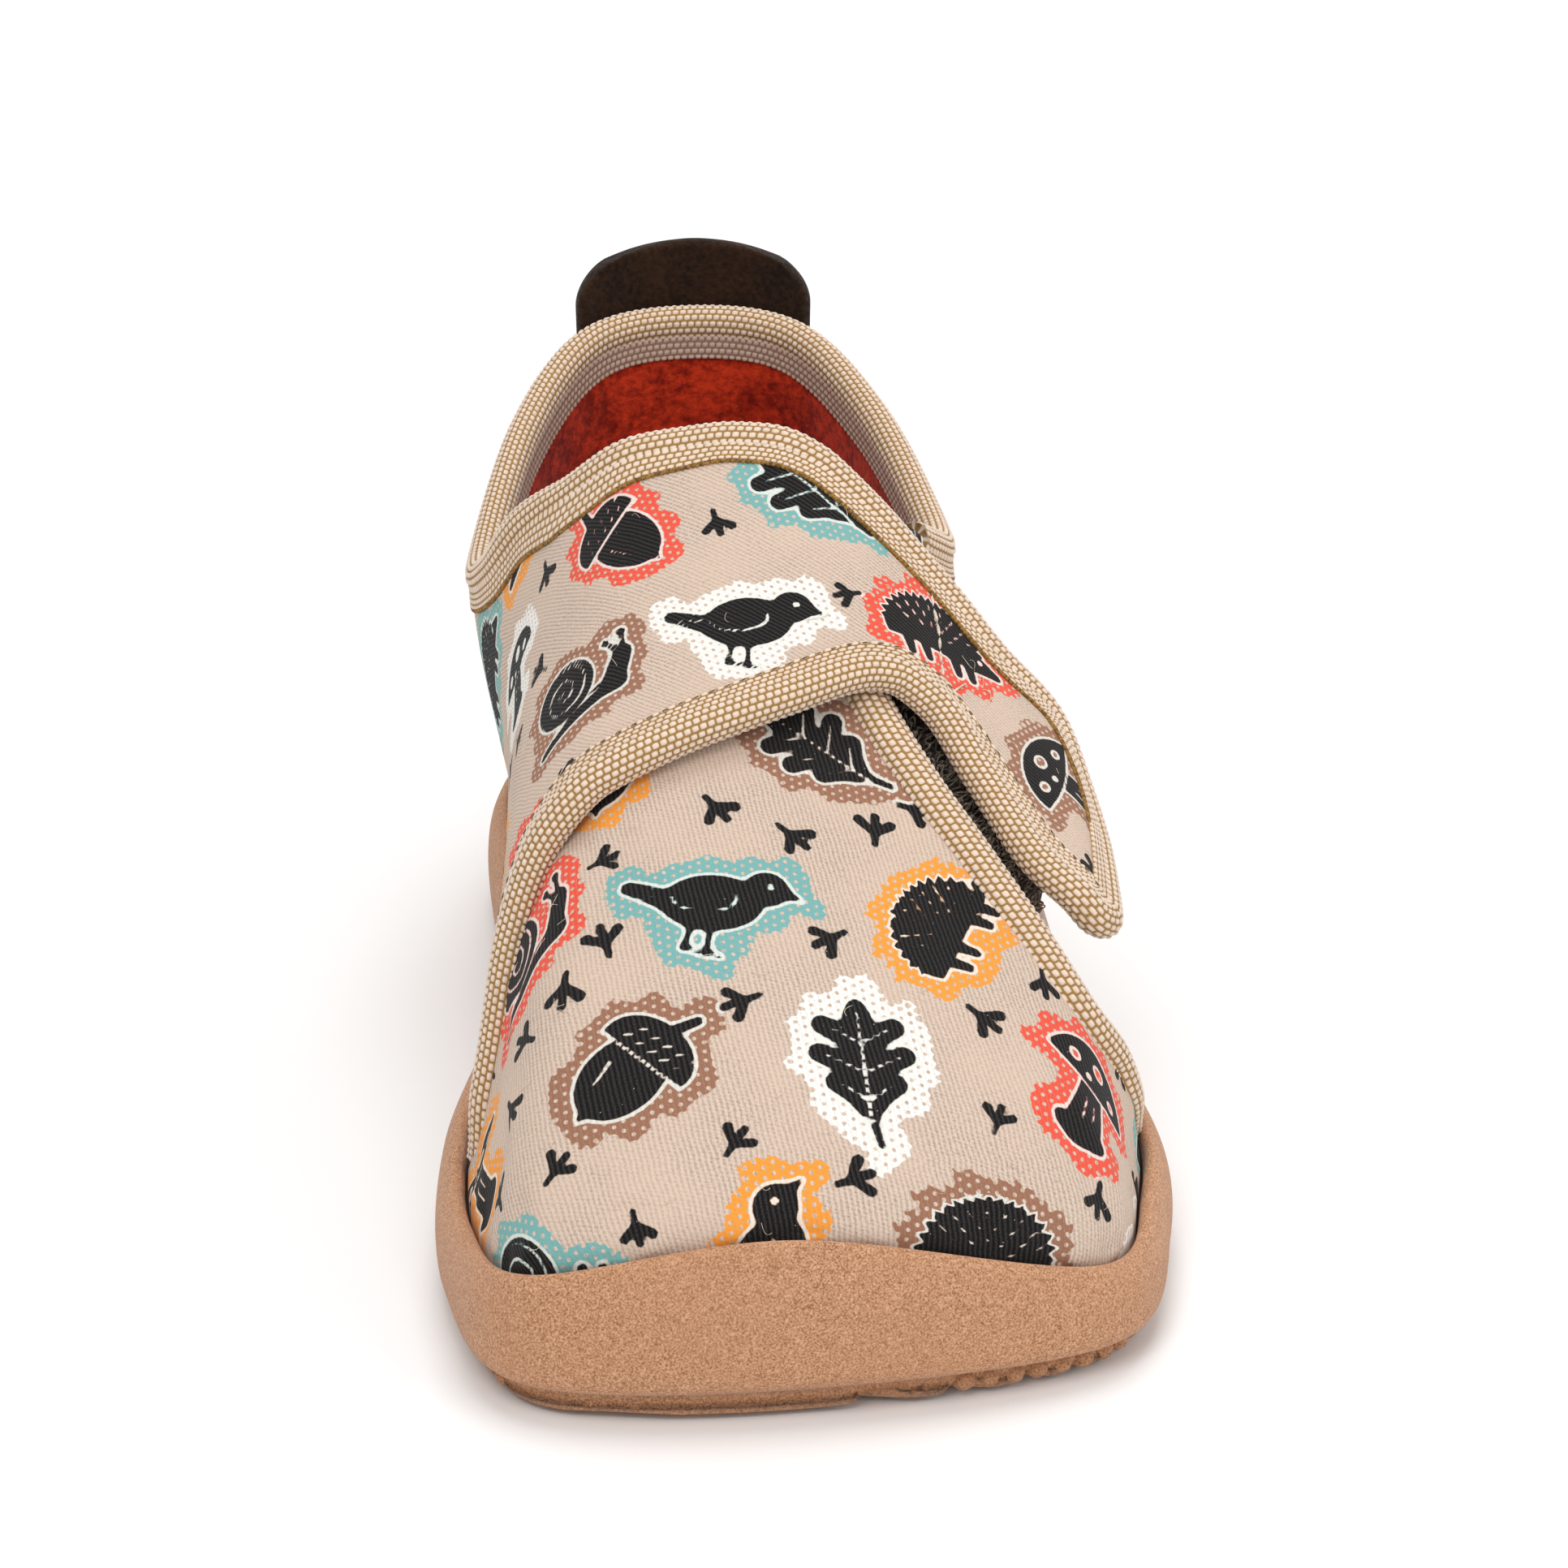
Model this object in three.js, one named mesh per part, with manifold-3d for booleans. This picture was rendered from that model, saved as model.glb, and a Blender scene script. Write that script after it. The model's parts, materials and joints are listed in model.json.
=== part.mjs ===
// A toddler's house slipper for the left foot, closed by one wide strap over the instep.
// The inner quarter and the strap are cut in one, and they cross the vamp and fasten on the outer
// quarter with hook and loop. All sizes are in millimetres. The toe points to -Y, the little toe's
// side is +X, and the floor is z = 0.
import * as THREE from 'three';
import { mergeVertices } from 'three/addons/utils/BufferGeometryUtils.js';
import Module from 'manifold-3d';

const wasm = await Module();
wasm.setup();

const mix = (a, b, t) => a + (b - a) * t;

// Driving sizes
const soleLength = 148;
const ballWidth = 71; // over the side walls of the sole
const instepHeight = 67; // floor to the strap's top edge, at its middle
const bumperHeight = 17.5; // floor to the lip of the sole at the toe
const wall = 2.2; // printed twill with its felt lining
const gap = 0.3; // between pieces that touch
const treadThickness = 1.8;
const treadTuck = 2.4; // how far the tread stands back from the side wall
const ribPitch = 2.9;
const ribSlant = 11; // degrees, the ribs run forward towards the little toe
const grooveWidth = 0.7; // at its floor
const grooveFlank = 0.35;
const grooveDepth = 0.9;
const plainToe = 3.6; // ungrooved length of tread at the toe
const plainHeel = 5;
const toeSpring = 0.8;
const footbedHeight = 5; // floor to the bed inside the cup
const lipWidth = 2.9; // thickness of the side wall at its lip
const insoleThickness = 3;
const tapeWidth = 3.6; // binding tape folded round an edge
const slack = 0.5; // between pieces that lie loosely on each other
const loopThickness = 1.6;
const hookThickness = 1.5;
const tabWidth = 24.6;
const tabShift = 0.2; // towards the outer side
const tabArch = 1.2; // how far its top edge falls to the corners
const tabRise = 8.8; // heel tab above the collar
const tabDrop = 21; // and down the heel
const tabCorner = 5.2;
const tabThickness = 2.1;

// Lifts of the outer faces above the vamp, worked out from what lies between
const underlap = wall + slack; // the outer quarter lies this far below
const vampEdgeLift = wall / 2 + tapeWidth / 2 + gap + 0.8 * slack - underlap;
const sewnLift = wall + gap; // where the strap is sewn to the vamp
const restLift = wall / 2 + tapeWidth / 2 + gap; // where its bound edges rest on the vamp
const crossLift = vampEdgeLift + tapeWidth + gap; // over the vamp's bound edge
const closedLift = loopThickness + slack + hookThickness + 2 * gap + wall - underlap; // over the pads
const tipLift = closedLift + 2; // the strap's end stands off the foot

// Stations round the last, from the heel over the little toe's side to the toe and back.
// across and rimAcross are shares of ballWidth, along and rimAlong shares of soleLength from the
// heel, lip a share of bumperHeight, and rimHeight, footReach and crownReach shares of instepHeight.
// Leans are in degrees: footLean from upright, crownSlope from level.
const stationNames = ['across', 'along', 'lip', 'rimAcross', 'rimAlong', 'rimHeight',
  'footReach', 'footLean', 'crownReach', 'crownSlope'];
const stations = [
  [0.000, 0.000, 0.78, -0.008, 0.040, 0.905, 0.21, 14, 0.24, 92], // heel
  [0.228, 0.035, 0.77, 0.160, 0.062, 0.885, 0.21, 14, 0.24, 92],
  [0.345, 0.140, 0.73, 0.265, 0.150, 0.810, 0.19, 12, 0.22, 92],
  [0.375, 0.320, 0.68, 0.330, 0.290, 0.715, 0.18, 4, 0.18, 88], // waist, outer side
  [0.442, 0.500, 0.65, 0.309, 0.370, 0.770, 0.20, 11, 0.21, 79],
  [0.524, 0.680, 0.61, 0.248, 0.405, 0.875, 0.26, -11, 0.32, 56], // ball, outer side
  [0.512, 0.820, 0.59, 0.162, 0.437, 0.945, 0.25, -12, 0.41, 45],
  [0.398, 0.952, 0.62, 0.076, 0.447, 0.985, 0.20, 8, 0.47, 41],
  [-0.025, 1.000, 1.03, -0.025, 0.450, 1.000, 0.14, -2, 0.57, 36], // toe
  [-0.372, 0.976, 0.80, -0.132, 0.448, 0.985, 0.20, 6, 0.48, 40],
  [-0.462, 0.850, 0.63, -0.218, 0.438, 0.940, 0.25, -13, 0.37, 54],
  [-0.452, 0.690, 0.63, -0.299, 0.410, 0.860, 0.28, -15, 0.27, 85], // ball, inner side
  [-0.370, 0.500, 0.65, -0.350, 0.370, 0.745, 0.21, -10, 0.20, 90],
  [-0.350, 0.320, 0.68, -0.368, 0.290, 0.690, 0.18, -2, 0.18, 90], // waist, inner side
  [-0.340, 0.140, 0.73, -0.294, 0.150, 0.800, 0.19, 12, 0.22, 92],
  [-0.228, 0.035, 0.77, -0.180, 0.062, 0.885, 0.21, 14, 0.24, 92],
];

// The panel that starts at the front of the outer quarter, runs back round the heel and ends as the
// strap. Each row is one line across it: its low and high ends as a place round the last (in
// sixteenths) and a share of the wall's height, the lift of its outer face, and how far it is one
// with the vamp under it.
const skirt = -0.1; // the share of height that stands for the hidden margin in the cup
const panelNames = ['lowRound', 'lowShare', 'highRound', 'highShare', 'lift', 'sewn'];
const panelRows = [
  [6.90, skirt, 7.00, 0.78, -underlap, 0], // front of the outer quarter, under the vamp
  [6.30, skirt, 6.10, 0.90, -underlap, 0],
  [5.60, skirt, 5.10, 0.97, -underlap, 0],
  [4.60, skirt, 4.20, 1.00, -0.7 * underlap, 0],
  [3.50, skirt, 3.40, 1.00, -0.15 * underlap, 0],
  [2.50, skirt, 2.50, 1.00, 0, 0],
  [1.50, skirt, 1.50, 1.00, 0, 0],
  [0.50, skirt, 0.50, 1.00, 0, 0],
  [-0.50, skirt, -0.50, 1.00, 0, 0],
  [-1.50, skirt, -1.50, 1.00, 0, 0],
  [-2.50, skirt, -2.50, 1.00, 0, 0],
  [-3.40, skirt, -3.50, 1.00, 0.1 * sewnLift, 0],
  [-4.15, skirt, -4.30, 1.00, 0.2 * sewnLift, 0.3],
  [-4.75, skirt, -4.90, 0.99, 0.3 * sewnLift, 1],
  [-5.20, skirt, -5.40, 0.985, 0.35 * sewnLift, 1], // foot of the strap's front edge
  [-5.66, 0.27, -5.85, 0.982, 0.45 * sewnLift, 1],
  [-6.17, 0.48, -6.30, 0.984, 0.75 * sewnLift, 1],
  [-6.75, 0.595, -6.80, 0.985, mix(sewnLift, restLift, 0.6), 0.7],
  [-7.50, 0.675, -7.50, 0.984, restLift, 0],
  [-8.25, 0.714, -8.15, 0.982, mix(restLift, crossLift, 0.4), 0],
  [-8.88, 0.722, -8.80, 0.966, crossLift, 0], // over the vamp's bound edge
  [-9.38, 0.676, -9.53, 0.906, mix(closedLift, crossLift, 0.8), 0],
  [-9.58, 0.596, -10.02, 0.814, mix(closedLift, crossLift, 0.2), 0],
  [-9.70, 0.496, -10.32, 0.712, mix(closedLift, tipLift, 0.3), 0],
  [-9.84, 0.425, -10.66, 0.610, tipLift, 0],
  [-9.96, 0.390, -10.66, 0.506, tipLift, 0],
  [-10.12, 0.372, -10.52, 0.440, tipLift, 0], // tip
];
const frontEdgeRow = 14; // where the low end leaves the sole
const collarRow = 3; // where the tape starts, at the front of the outer quarter's collar

// Side edges of the vamp: places round the last at a share of the wall's height
const vampNames = ['share', 'inner', 'outer'];
const vampRows = [
  [skirt, 10.80, 5.30],
  [0.00, 10.80, 5.35],
  [0.20, 10.75, 5.85],
  [0.32, 10.60, 6.25],
  [0.44, 10.45, 6.52],
  [0.55, 10.25, 6.77],
  [0.65, 10.00, 7.02],
  [0.75, 9.80, 7.14],
  [0.85, 9.60, 7.18],
  [0.93, 9.44, 7.20],
];

// Side wall of the cup sole, from the tread up: inset as a share of lipWidth, and height as a share
// of the way from the tread to the lip
const cupRows = [
  [0.16, 0.12],
  [0.00, 0.36],
  [0.08, 0.68],
  [0.36, 0.89],
  [0.68, 1.00],
  [0.90, 0.98],
  [1.00, 0.88],
];

// Smooth values
const degrees = Math.PI / 180;
const clamp = (t) => Math.min(1, Math.max(0, t));
const ease = (low, high, x) => {
  const t = clamp((x - low) / (high - low));
  return t * t * (3 - 2 * t);
};

function throughFour(p0, p1, p2, p3, t) {
  return 0.5 * (2 * p1 + (p2 - p0) * t + (2 * p0 - 5 * p1 + 4 * p2 - p3) * t * t
    + (3 * p1 - p0 - 3 * p2 + p3) * t * t * t);
}

// A value at a place round the last, from 0 at the heel to the number of stations
function roundLast(name, place) {
  const column = stationNames.indexOf(name);
  const count = stations.length;
  const first = Math.floor(place);
  const at = (k) => stations[(((first + k) % count) + count) % count][column];
  return throughFour(at(-1), at(0), at(1), at(2), place - first);
}

// A value of a named column at a row number of a table, with the end rows held
function alongRows(rows, names, name, row) {
  const column = names.indexOf(name);
  const first = Math.min(rows.length - 2, Math.max(0, Math.floor(row)));
  const at = (k) => rows[Math.min(rows.length - 1, Math.max(0, first + k))][column];
  return throughFour(at(-1), at(0), at(1), at(2), row - first);
}

// Plan of the sole
function solePlan(place, inset = 0) {
  const at = (p) => new THREE.Vector2(
    roundLast('across', p) * ballWidth,
    soleLength / 2 - roundLast('along', p) * soleLength,
  );
  const step = at(place + 0.02).sub(at(place - 0.02)).normalize();
  const outward = new THREE.Vector2(-step.y, step.x);
  return { point: at(place).addScaledVector(outward, -inset), outward };
}

const lipHeight = (place) => roundLast('lip', place) * bumperHeight;
const toeRise = (y) => toeSpring * clamp((-y / soleLength - 0.24) / 0.26) ** 2;
const upperInset = lipWidth + gap;
const lipDrop = 0.6; // the upper's visible wall starts this far below the lip's top

// Surface of the last: a curve from the lip of the sole to the rim of the opening at each place
function lastCurve(place) {
  const { point, outward } = solePlan(place, upperInset);
  const foot = new THREE.Vector3(point.x, point.y, lipHeight(place) - lipDrop);
  const rimAt = (p) => new THREE.Vector3(
    roundLast('rimAcross', p) * ballWidth,
    soleLength / 2 - roundLast('rimAlong', p) * soleLength,
    roundLast('rimHeight', p) * instepHeight,
  );
  const rim = rimAt(place);
  const rimStep = rimAt(place + 0.02).sub(rimAt(place - 0.02)).setZ(0).normalize();
  const lean = roundLast('footLean', place) * degrees;
  const slope = roundLast('crownSlope', place) * degrees;
  const rise = new THREE.Vector3(outward.x * Math.sin(lean), outward.y * Math.sin(lean), Math.cos(lean));
  const fall = new THREE.Vector3(-rimStep.y * Math.cos(slope), rimStep.x * Math.cos(slope), -Math.sin(slope));
  return new THREE.CubicBezierCurve3(
    foot,
    foot.clone().addScaledVector(rise, roundLast('footReach', place) * instepHeight),
    rim.clone().addScaledVector(fall, roundLast('crownReach', place) * instepHeight),
    rim,
  );
}

// Past either end the surface runs on straight: down into the cup, or up beyond the rim
function onLast(place, share) {
  const curve = lastCurve(place);
  if (share > 1) {
    return curve.v3.clone().addScaledVector(curve.v3.clone().sub(curve.v2), 3 * (share - 1));
  }
  const point = curve.getPoint(Math.max(0, share));
  if (share < 0) point.z = mix(point.z, footbedHeight + gap, share / skirt);
  return point;
}

function lastNormal(place, share) {
  if (share < 0) {
    const { outward } = solePlan(place);
    return new THREE.Vector3(outward.x, outward.y, 0);
  }
  const at = Math.min(0.995, Math.max(0.005, share));
  const round = onLast(place + 0.02, at).sub(onLast(place - 0.02, at));
  const up = onLast(place, at + 0.005).sub(onLast(place, at - 0.005));
  return up.cross(round).normalize();
}

const lifted = (place, share, lift) => onLast(place, share).addScaledVector(lastNormal(place, share), lift);

// Every layer dives into the vamp's wall at the lip, where all of them are lasted together
const lastedLift = -0.5;
const diveShare = 0.12;
const layerLift = (lift, share) => mix(lastedLift, lift, ease(0, diveShare, share));

// Closed meshes
function solidFrom(positions, indices) {
  let volume = 0;
  const corner = (k) => new THREE.Vector3().fromArray(positions, indices[k] * 3);
  for (let k = 0; k < indices.length; k += 3) volume += corner(k).dot(corner(k + 1).cross(corner(k + 2)));
  const triangles = Uint32Array.from(indices);
  if (volume < 0) triangles.reverse();
  const mesh = new wasm.Mesh({
    numProp: 3,
    vertProperties: Float32Array.from(positions),
    triVerts: triangles,
  });
  return new wasm.Manifold(mesh);
}

function fromGeometry(geometry) {
  geometry.deleteAttribute('normal');
  geometry.deleteAttribute('uv');
  const merged = mergeVertices(geometry, 1e-4);
  return solidFrom(Array.from(merged.attributes.position.array), Array.from(merged.index.array));
}

// A sheet with thickness. pointAt(i, j, face) gives a corner: face 0 is outside, 1 inside.
function sheetSolid(columns, rows, pointAt) {
  const positions = [];
  const indices = [];
  const index = (i, j, face) => (i * (rows + 1) + j) * 2 + face;
  const quad = (a, b, c, d) => indices.push(a, b, c, a, c, d);
  for (let i = 0; i <= columns; i++) {
    for (let j = 0; j <= rows; j++) {
      for (const face of [0, 1]) positions.push(...pointAt(i, j, face).toArray());
    }
  }
  for (let i = 0; i < columns; i++) {
    for (let j = 0; j < rows; j++) {
      quad(index(i, j, 0), index(i + 1, j, 0), index(i + 1, j + 1, 0), index(i, j + 1, 0));
      quad(index(i, j, 1), index(i, j + 1, 1), index(i + 1, j + 1, 1), index(i + 1, j, 1));
    }
    quad(index(i, 0, 1), index(i + 1, 0, 1), index(i + 1, 0, 0), index(i, 0, 0));
    quad(index(i, rows, 0), index(i + 1, rows, 0), index(i + 1, rows, 1), index(i, rows, 1));
  }
  for (let j = 0; j < rows; j++) {
    quad(index(0, j, 0), index(0, j + 1, 0), index(0, j + 1, 1), index(0, j, 1));
    quad(index(columns, j, 1), index(columns, j + 1, 1), index(columns, j + 1, 0), index(columns, j, 0));
  }
  return solidFrom(positions, indices);
}

// Rings of points joined one to the next, with a fan at each end
function ringSolid(rings) {
  const count = rings[0].length;
  const positions = rings.flat().flatMap((point) => point.toArray());
  const indices = [];
  for (let k = 0; k + 1 < rings.length; k++) {
    for (let i = 0; i < count; i++) {
      const next = (i + 1) % count;
      const [a, b, c, d] = [k * count + i, k * count + next, (k + 1) * count + next, (k + 1) * count + i];
      indices.push(a, b, c, a, c, d);
    }
  }
  for (const [ring, turned] of [[0, true], [rings.length - 1, false]]) {
    const middle = new THREE.Vector3();
    for (const point of rings[ring]) middle.addScaledVector(point, 1 / count);
    const centre = positions.length / 3;
    positions.push(...middle.toArray());
    for (let i = 0; i < count; i++) {
      const [a, b] = [ring * count + i, ring * count + ((i + 1) % count)];
      indices.push(...(turned ? [b, a, centre] : [a, b, centre]));
    }
  }
  return solidFrom(positions, indices);
}

// A round tape along a path of places on the last, centred in the wall that it binds
function tapeSolid(path, grow = 0) {
  const points = path.map(({ place, share, lift }) => lifted(place, share, lift - wall / 2));
  const section = new THREE.Shape().absarc(0, 0, tapeWidth / 2 + grow, 0, 2 * Math.PI);
  return fromGeometry(new THREE.ExtrudeGeometry(section, {
    steps: path.length,
    curveSegments: 3,
    bevelEnabled: false,
    extrudePath: new THREE.CatmullRomCurve3(points),
  }));
}

// Sole
const soleSteps = 64;
const soleRing = (inset, heightAt) => Array.from({ length: soleSteps }, (_, i) => {
  const place = (i / soleSteps) * stations.length;
  const { point } = solePlan(place, inset);
  return new THREE.Vector3(point.x, point.y, heightAt(place, point.y));
});
// The plan shrunk towards its middle, for the flats inside an outline
const shrunkRing = (inset, share, heightAt) => soleRing(inset, () => 0).map((point) => {
  const y = point.y * share;
  return new THREE.Vector3(point.x * share, y, heightAt(y));
});

// Slices across the tread, each a line from its inner to its outer edge
function treadSlice(travel) {
  const axis = new THREE.Vector2(-Math.sin(ribSlant * degrees), -Math.cos(ribSlant * degrees));
  const [heel, toe] = [0, stations.length / 2];
  const reach = (place) => solePlan(place, treadTuck).point.dot(axis);
  const crossing = (heelSide) => {
    let [back, front] = [heelSide, toe];
    for (let k = 0; k < 24; k++) {
      const middle = (back + front) / 2;
      if (reach(middle) < travel) back = middle;
      else front = middle;
    }
    return solePlan(back, treadTuck).point;
  };
  return { from: reach(heel), to: reach(toe), edges: [crossing(2 * toe), crossing(heel)] };
}

function makeTread() {
  const { from, to } = treadSlice(0);
  const blunt = 0.05; // where the first and last slice lie inside the outline
  const stops = [];
  for (const share of [0, 0.06, 0.2, 0.5, 1]) {
    stops.push([from + mix(blunt, plainHeel, share), 0], [to - mix(blunt, plainToe, share), 0]);
  }
  const ribbed = to - from - plainHeel - plainToe;
  const ribs = Math.round(ribbed / ribPitch);
  const pitch = ribbed / ribs;
  for (let k = 0; k < ribs; k++) {
    const middle = from + plainHeel + (k + 0.5) * pitch;
    const [floorHalf, mouthHalf] = [grooveWidth / 2, grooveWidth / 2 + grooveFlank];
    stops.push([middle - mouthHalf, 0], [middle - floorHalf, grooveDepth]);
    stops.push([middle + floorHalf, grooveDepth], [middle + mouthHalf, 0]);
  }
  stops.sort((a, b) => a[0] - b[0]);
  const slices = stops.map(([travel, cut]) => ({ cut, edges: treadSlice(travel).edges }));
  return sheetSolid(slices.length - 1, 1, (i, j, face) => {
    const { x, y } = slices[i].edges[j];
    return new THREE.Vector3(x, y, toeRise(y) + (face ? slices[i].cut : treadThickness));
  });
}

function makeMidsole() {
  const under = (y) => treadThickness + gap + toeRise(y);
  return ringSolid([
    ...[0.3, 0.6, 0.85].map((share) => shrunkRing(treadTuck, share, under)),
    soleRing(treadTuck, (_, y) => under(y)),
    ...cupRows.map(([inset, height]) => soleRing(
      inset * lipWidth,
      (place, y) => mix(under(y), lipHeight(place), height),
    )),
    soleRing(lipWidth, () => footbedHeight),
    shrunkRing(lipWidth, 0.5, () => footbedHeight),
  ]);
}

const insoleInset = upperInset + wall - lastedLift + gap;
function makeInsole() {
  const [bottom, top] = [footbedHeight + gap, footbedHeight + gap + insoleThickness];
  const bevel = 0.8;
  return ringSolid([
    shrunkRing(insoleInset, 0.5, () => bottom),
    soleRing(insoleInset, () => bottom),
    soleRing(insoleInset, () => top - bevel),
    soleRing(insoleInset + bevel, () => top),
    shrunkRing(insoleInset + bevel, 0.5, () => top),
  ]);
}

// Upper
function panelAt(row) {
  const line = Object.fromEntries(
    panelNames.map((name) => [name, alongRows(panelRows, panelNames, name, row)]),
  );
  line.lowShare = Math.max(skirt, line.lowShare);
  return line;
}

function makePanel() {
  const columns = 3 * (panelRows.length - 1);
  const rows = 7;
  const lines = Array.from({ length: columns + 1 }, (_, i) => panelAt(i / 3));
  return sheetSolid(columns, rows, (i, j, face) => {
    const line = lines[i];
    const low = Math.max(0, line.lowShare + 0.02);
    const share = j === 0 ? line.lowShare : mix(low, line.highShare, (j - 1) / (rows - 1));
    const across = (share - line.lowShare) / (line.highShare - line.lowShare);
    const place = mix(line.lowRound, line.highRound, across);
    const depth = wall * (1 + clamp(line.sewn) * ease(0, diveShare, share));
    return lifted(place, share, layerLift(line.lift, share) - face * depth);
  });
}

function vampSide(share, side) {
  const shares = vampRows.map((row) => row[0]);
  const next = Math.max(1, shares.findIndex((each) => each >= share));
  const row = next - 1 + (share - shares[next - 1]) / (shares[next] - shares[next - 1]);
  return alongRows(vampRows, vampNames, side, row);
}

const vampLift = (fromEdge, share) => vampEdgeLift * ease(0.14, 0, fromEdge) * ease(0, diveShare, share);

function makeVamp() {
  const columns = 24;
  const rows = 12;
  const top = vampRows[vampRows.length - 1][0];
  return sheetSolid(columns, rows, (i, j, face) => {
    const share = j === 0 ? skirt : mix(0, top, (j - 1) / (rows - 1));
    const fromEdge = 1 - i / columns;
    const place = mix(vampSide(share, 'outer'), vampSide(share, 'inner'), fromEdge);
    return lifted(place, share, vampLift(fromEdge, share) - face * wall);
  });
}

const tapeFoot = 0.06; // the share of height where a tape ends over the lip

// The binding starts at the outer quarter, follows the collar, the strap's top edge and tip, and
// comes back along the strap's front edge down to the sole
function bindingPath() {
  const last = panelRows.length - 1;
  const topSteps = 58;
  const frontSteps = 32;
  const path = [];
  for (let i = 0; i <= topSteps; i++) {
    const line = panelAt(mix(collarRow, last, i / topSteps));
    path.push({ place: line.highRound, share: line.highShare, lift: line.lift });
  }
  for (let i = 0; i <= frontSteps; i++) {
    const line = panelAt(mix(last, frontEdgeRow, i / frontSteps));
    if (line.lowShare > tapeFoot) path.push({ place: line.lowRound, share: line.lowShare, lift: line.lift });
  }
  return path;
}

function vampBindingPath() {
  const steps = 20;
  const [low, high] = [tapeFoot, 0.9];
  return Array.from({ length: steps + 1 }, (_, i) => {
    const share = mix(low, high, i / steps);
    return { place: vampSide(share, 'outer'), share, lift: vampLift(0, share) };
  });
}

// Heel tab: a strip up the back seam that stands above the collar, with rounded corners
function makeTab() {
  const columns = 10;
  const rows = 12;
  const heel = lastCurve(0);
  const lengthAt = (height) => (height > 0 ? 3 * heel.v3.distanceTo(heel.v2) : heel.getLength());
  const clear = (tapeWidth - wall) / 2 + gap; // outside the collar's tape
  const stationWidth = lifted(0.5, 1, clear).distanceTo(lifted(-0.5, 1, clear));
  return sheetSolid(columns, rows, (i, j, face) => {
    const height = mix(-tabDrop, tabRise, Math.sin((j / rows - 0.5) * Math.PI) / 2 + 0.5);
    const toEnd = Math.min(tabRise - height, height + tabDrop);
    const round = Math.max(0, tabCorner - toEnd);
    const cut = tabCorner - Math.sqrt(Math.max(0, tabCorner ** 2 - round ** 2));
    const half = tabWidth / 2 - cut;
    const place = (tabShift + mix(-half, half, i / columns)) / stationWidth;
    const arch = tabArch * (2 * i / columns - 1) ** 2 * clamp(height / tabRise);
    const share = 1 + (height - arch) / lengthAt(height);
    const lift = mix(gap, clear, ease(-tabDrop, -0.3 * tabDrop, height));
    return onLast(place, share).addScaledVector(lastNormal(place, share), lift + (1 - face) * tabThickness);
  });
}

// Loop on the outer quarter, and hook under the strap's end, between the bound edges
function makeLoop() {
  const [low, high] = [0.42, 0.86];
  const clear = 0.24; // in stations, from the vamp's edge to the pad
  const back = 5.35; // place of the pad's back end
  return sheetSolid(6, 6, (i, j, face) => {
    const share = mix(low, high, j / 6);
    const place = mix(vampSide(share, 'outer') - clear, back, i / 6);
    return lifted(place, share, gap - underlap + (1 - face) * loopThickness);
  });
}

function makeHook() {
  const [firstRow, lastRow] = [21.6, 23.9];
  return sheetSolid(5, 5, (i, j, face) => {
    const line = panelAt(mix(firstRow, lastRow, i / 5));
    const across = mix(0.24, 0.76, j / 5);
    const place = mix(line.lowRound, line.highRound, across);
    const share = mix(line.lowShare, line.highShare, across);
    return lifted(place, share, line.lift - wall - gap - face * hookThickness);
  });
}

function toGeometry(solid) {
  const { vertProperties, triVerts } = solid.getMesh();
  const geometry = new THREE.BufferGeometry();
  geometry.setAttribute('position', new THREE.BufferAttribute(vertProperties, 3));
  geometry.setIndex(new THREE.BufferAttribute(triVerts, 1));
  geometry.computeVertexNormals();
  return geometry;
}

// Assembly
const binding = bindingPath();
const vampBinding = vampBindingPath();
const upper = makePanel().add(makeVamp())
  .subtract(tapeSolid(binding, gap))
  .subtract(tapeSolid(vampBinding, gap));

const finishes = {
  foam: { color: 0xc9956f, roughness: 0.9 },
  tread: { color: 0xc08a63, roughness: 0.9 },
  felt: { color: 0xa82a17, roughness: 1 },
  twill: { color: 0xcdb8a4, roughness: 0.95 },
  tape: { color: 0xc7b294, roughness: 0.9 },
  suede: { color: 0x33251a, roughness: 1 },
  loop: { color: 0x6b5d50, roughness: 1 },
};
const pieces = [
  ['outsole', makeTread(), 'tread'],
  ['midsole', makeMidsole(), 'foam'],
  ['insole', makeInsole(), 'felt'],
  ['upper', upper, 'twill'],
  ['edge_binding', tapeSolid(binding), 'tape'],
  ['vamp_binding', tapeSolid(vampBinding), 'tape'],
  ['heel_tab', makeTab(), 'suede'],
  ['loop_pad', makeLoop(), 'loop'],
  ['hook_pad', makeHook(), 'loop'],
];

const slipper = new THREE.Group();
for (const [name, solid, finish] of pieces) {
  const material = new THREE.MeshStandardMaterial({ ...finishes[finish], metalness: 0 });
  const mesh = new THREE.Mesh(toGeometry(solid), material);
  mesh.name = name;
  slipper.add(mesh);
}

// The origin is on the floor, under the middle of the sole's plan
const plan = new THREE.Box2().setFromPoints(soleRing(0, () => 0).map(({ x, y }) => new THREE.Vector2(x, y)));
const middle = plan.getCenter(new THREE.Vector2());
slipper.position.set(-middle.x, -middle.y, 0);

export default slipper;
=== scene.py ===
# A toddler's house slipper for the left foot, dressed over its solids.
# The toe points to -Y, the little toe's side is +X and the floor is z = 0.
import json
import math
import bpy
import numpy as np
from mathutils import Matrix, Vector
from mathutils.kdtree import KDTree

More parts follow.
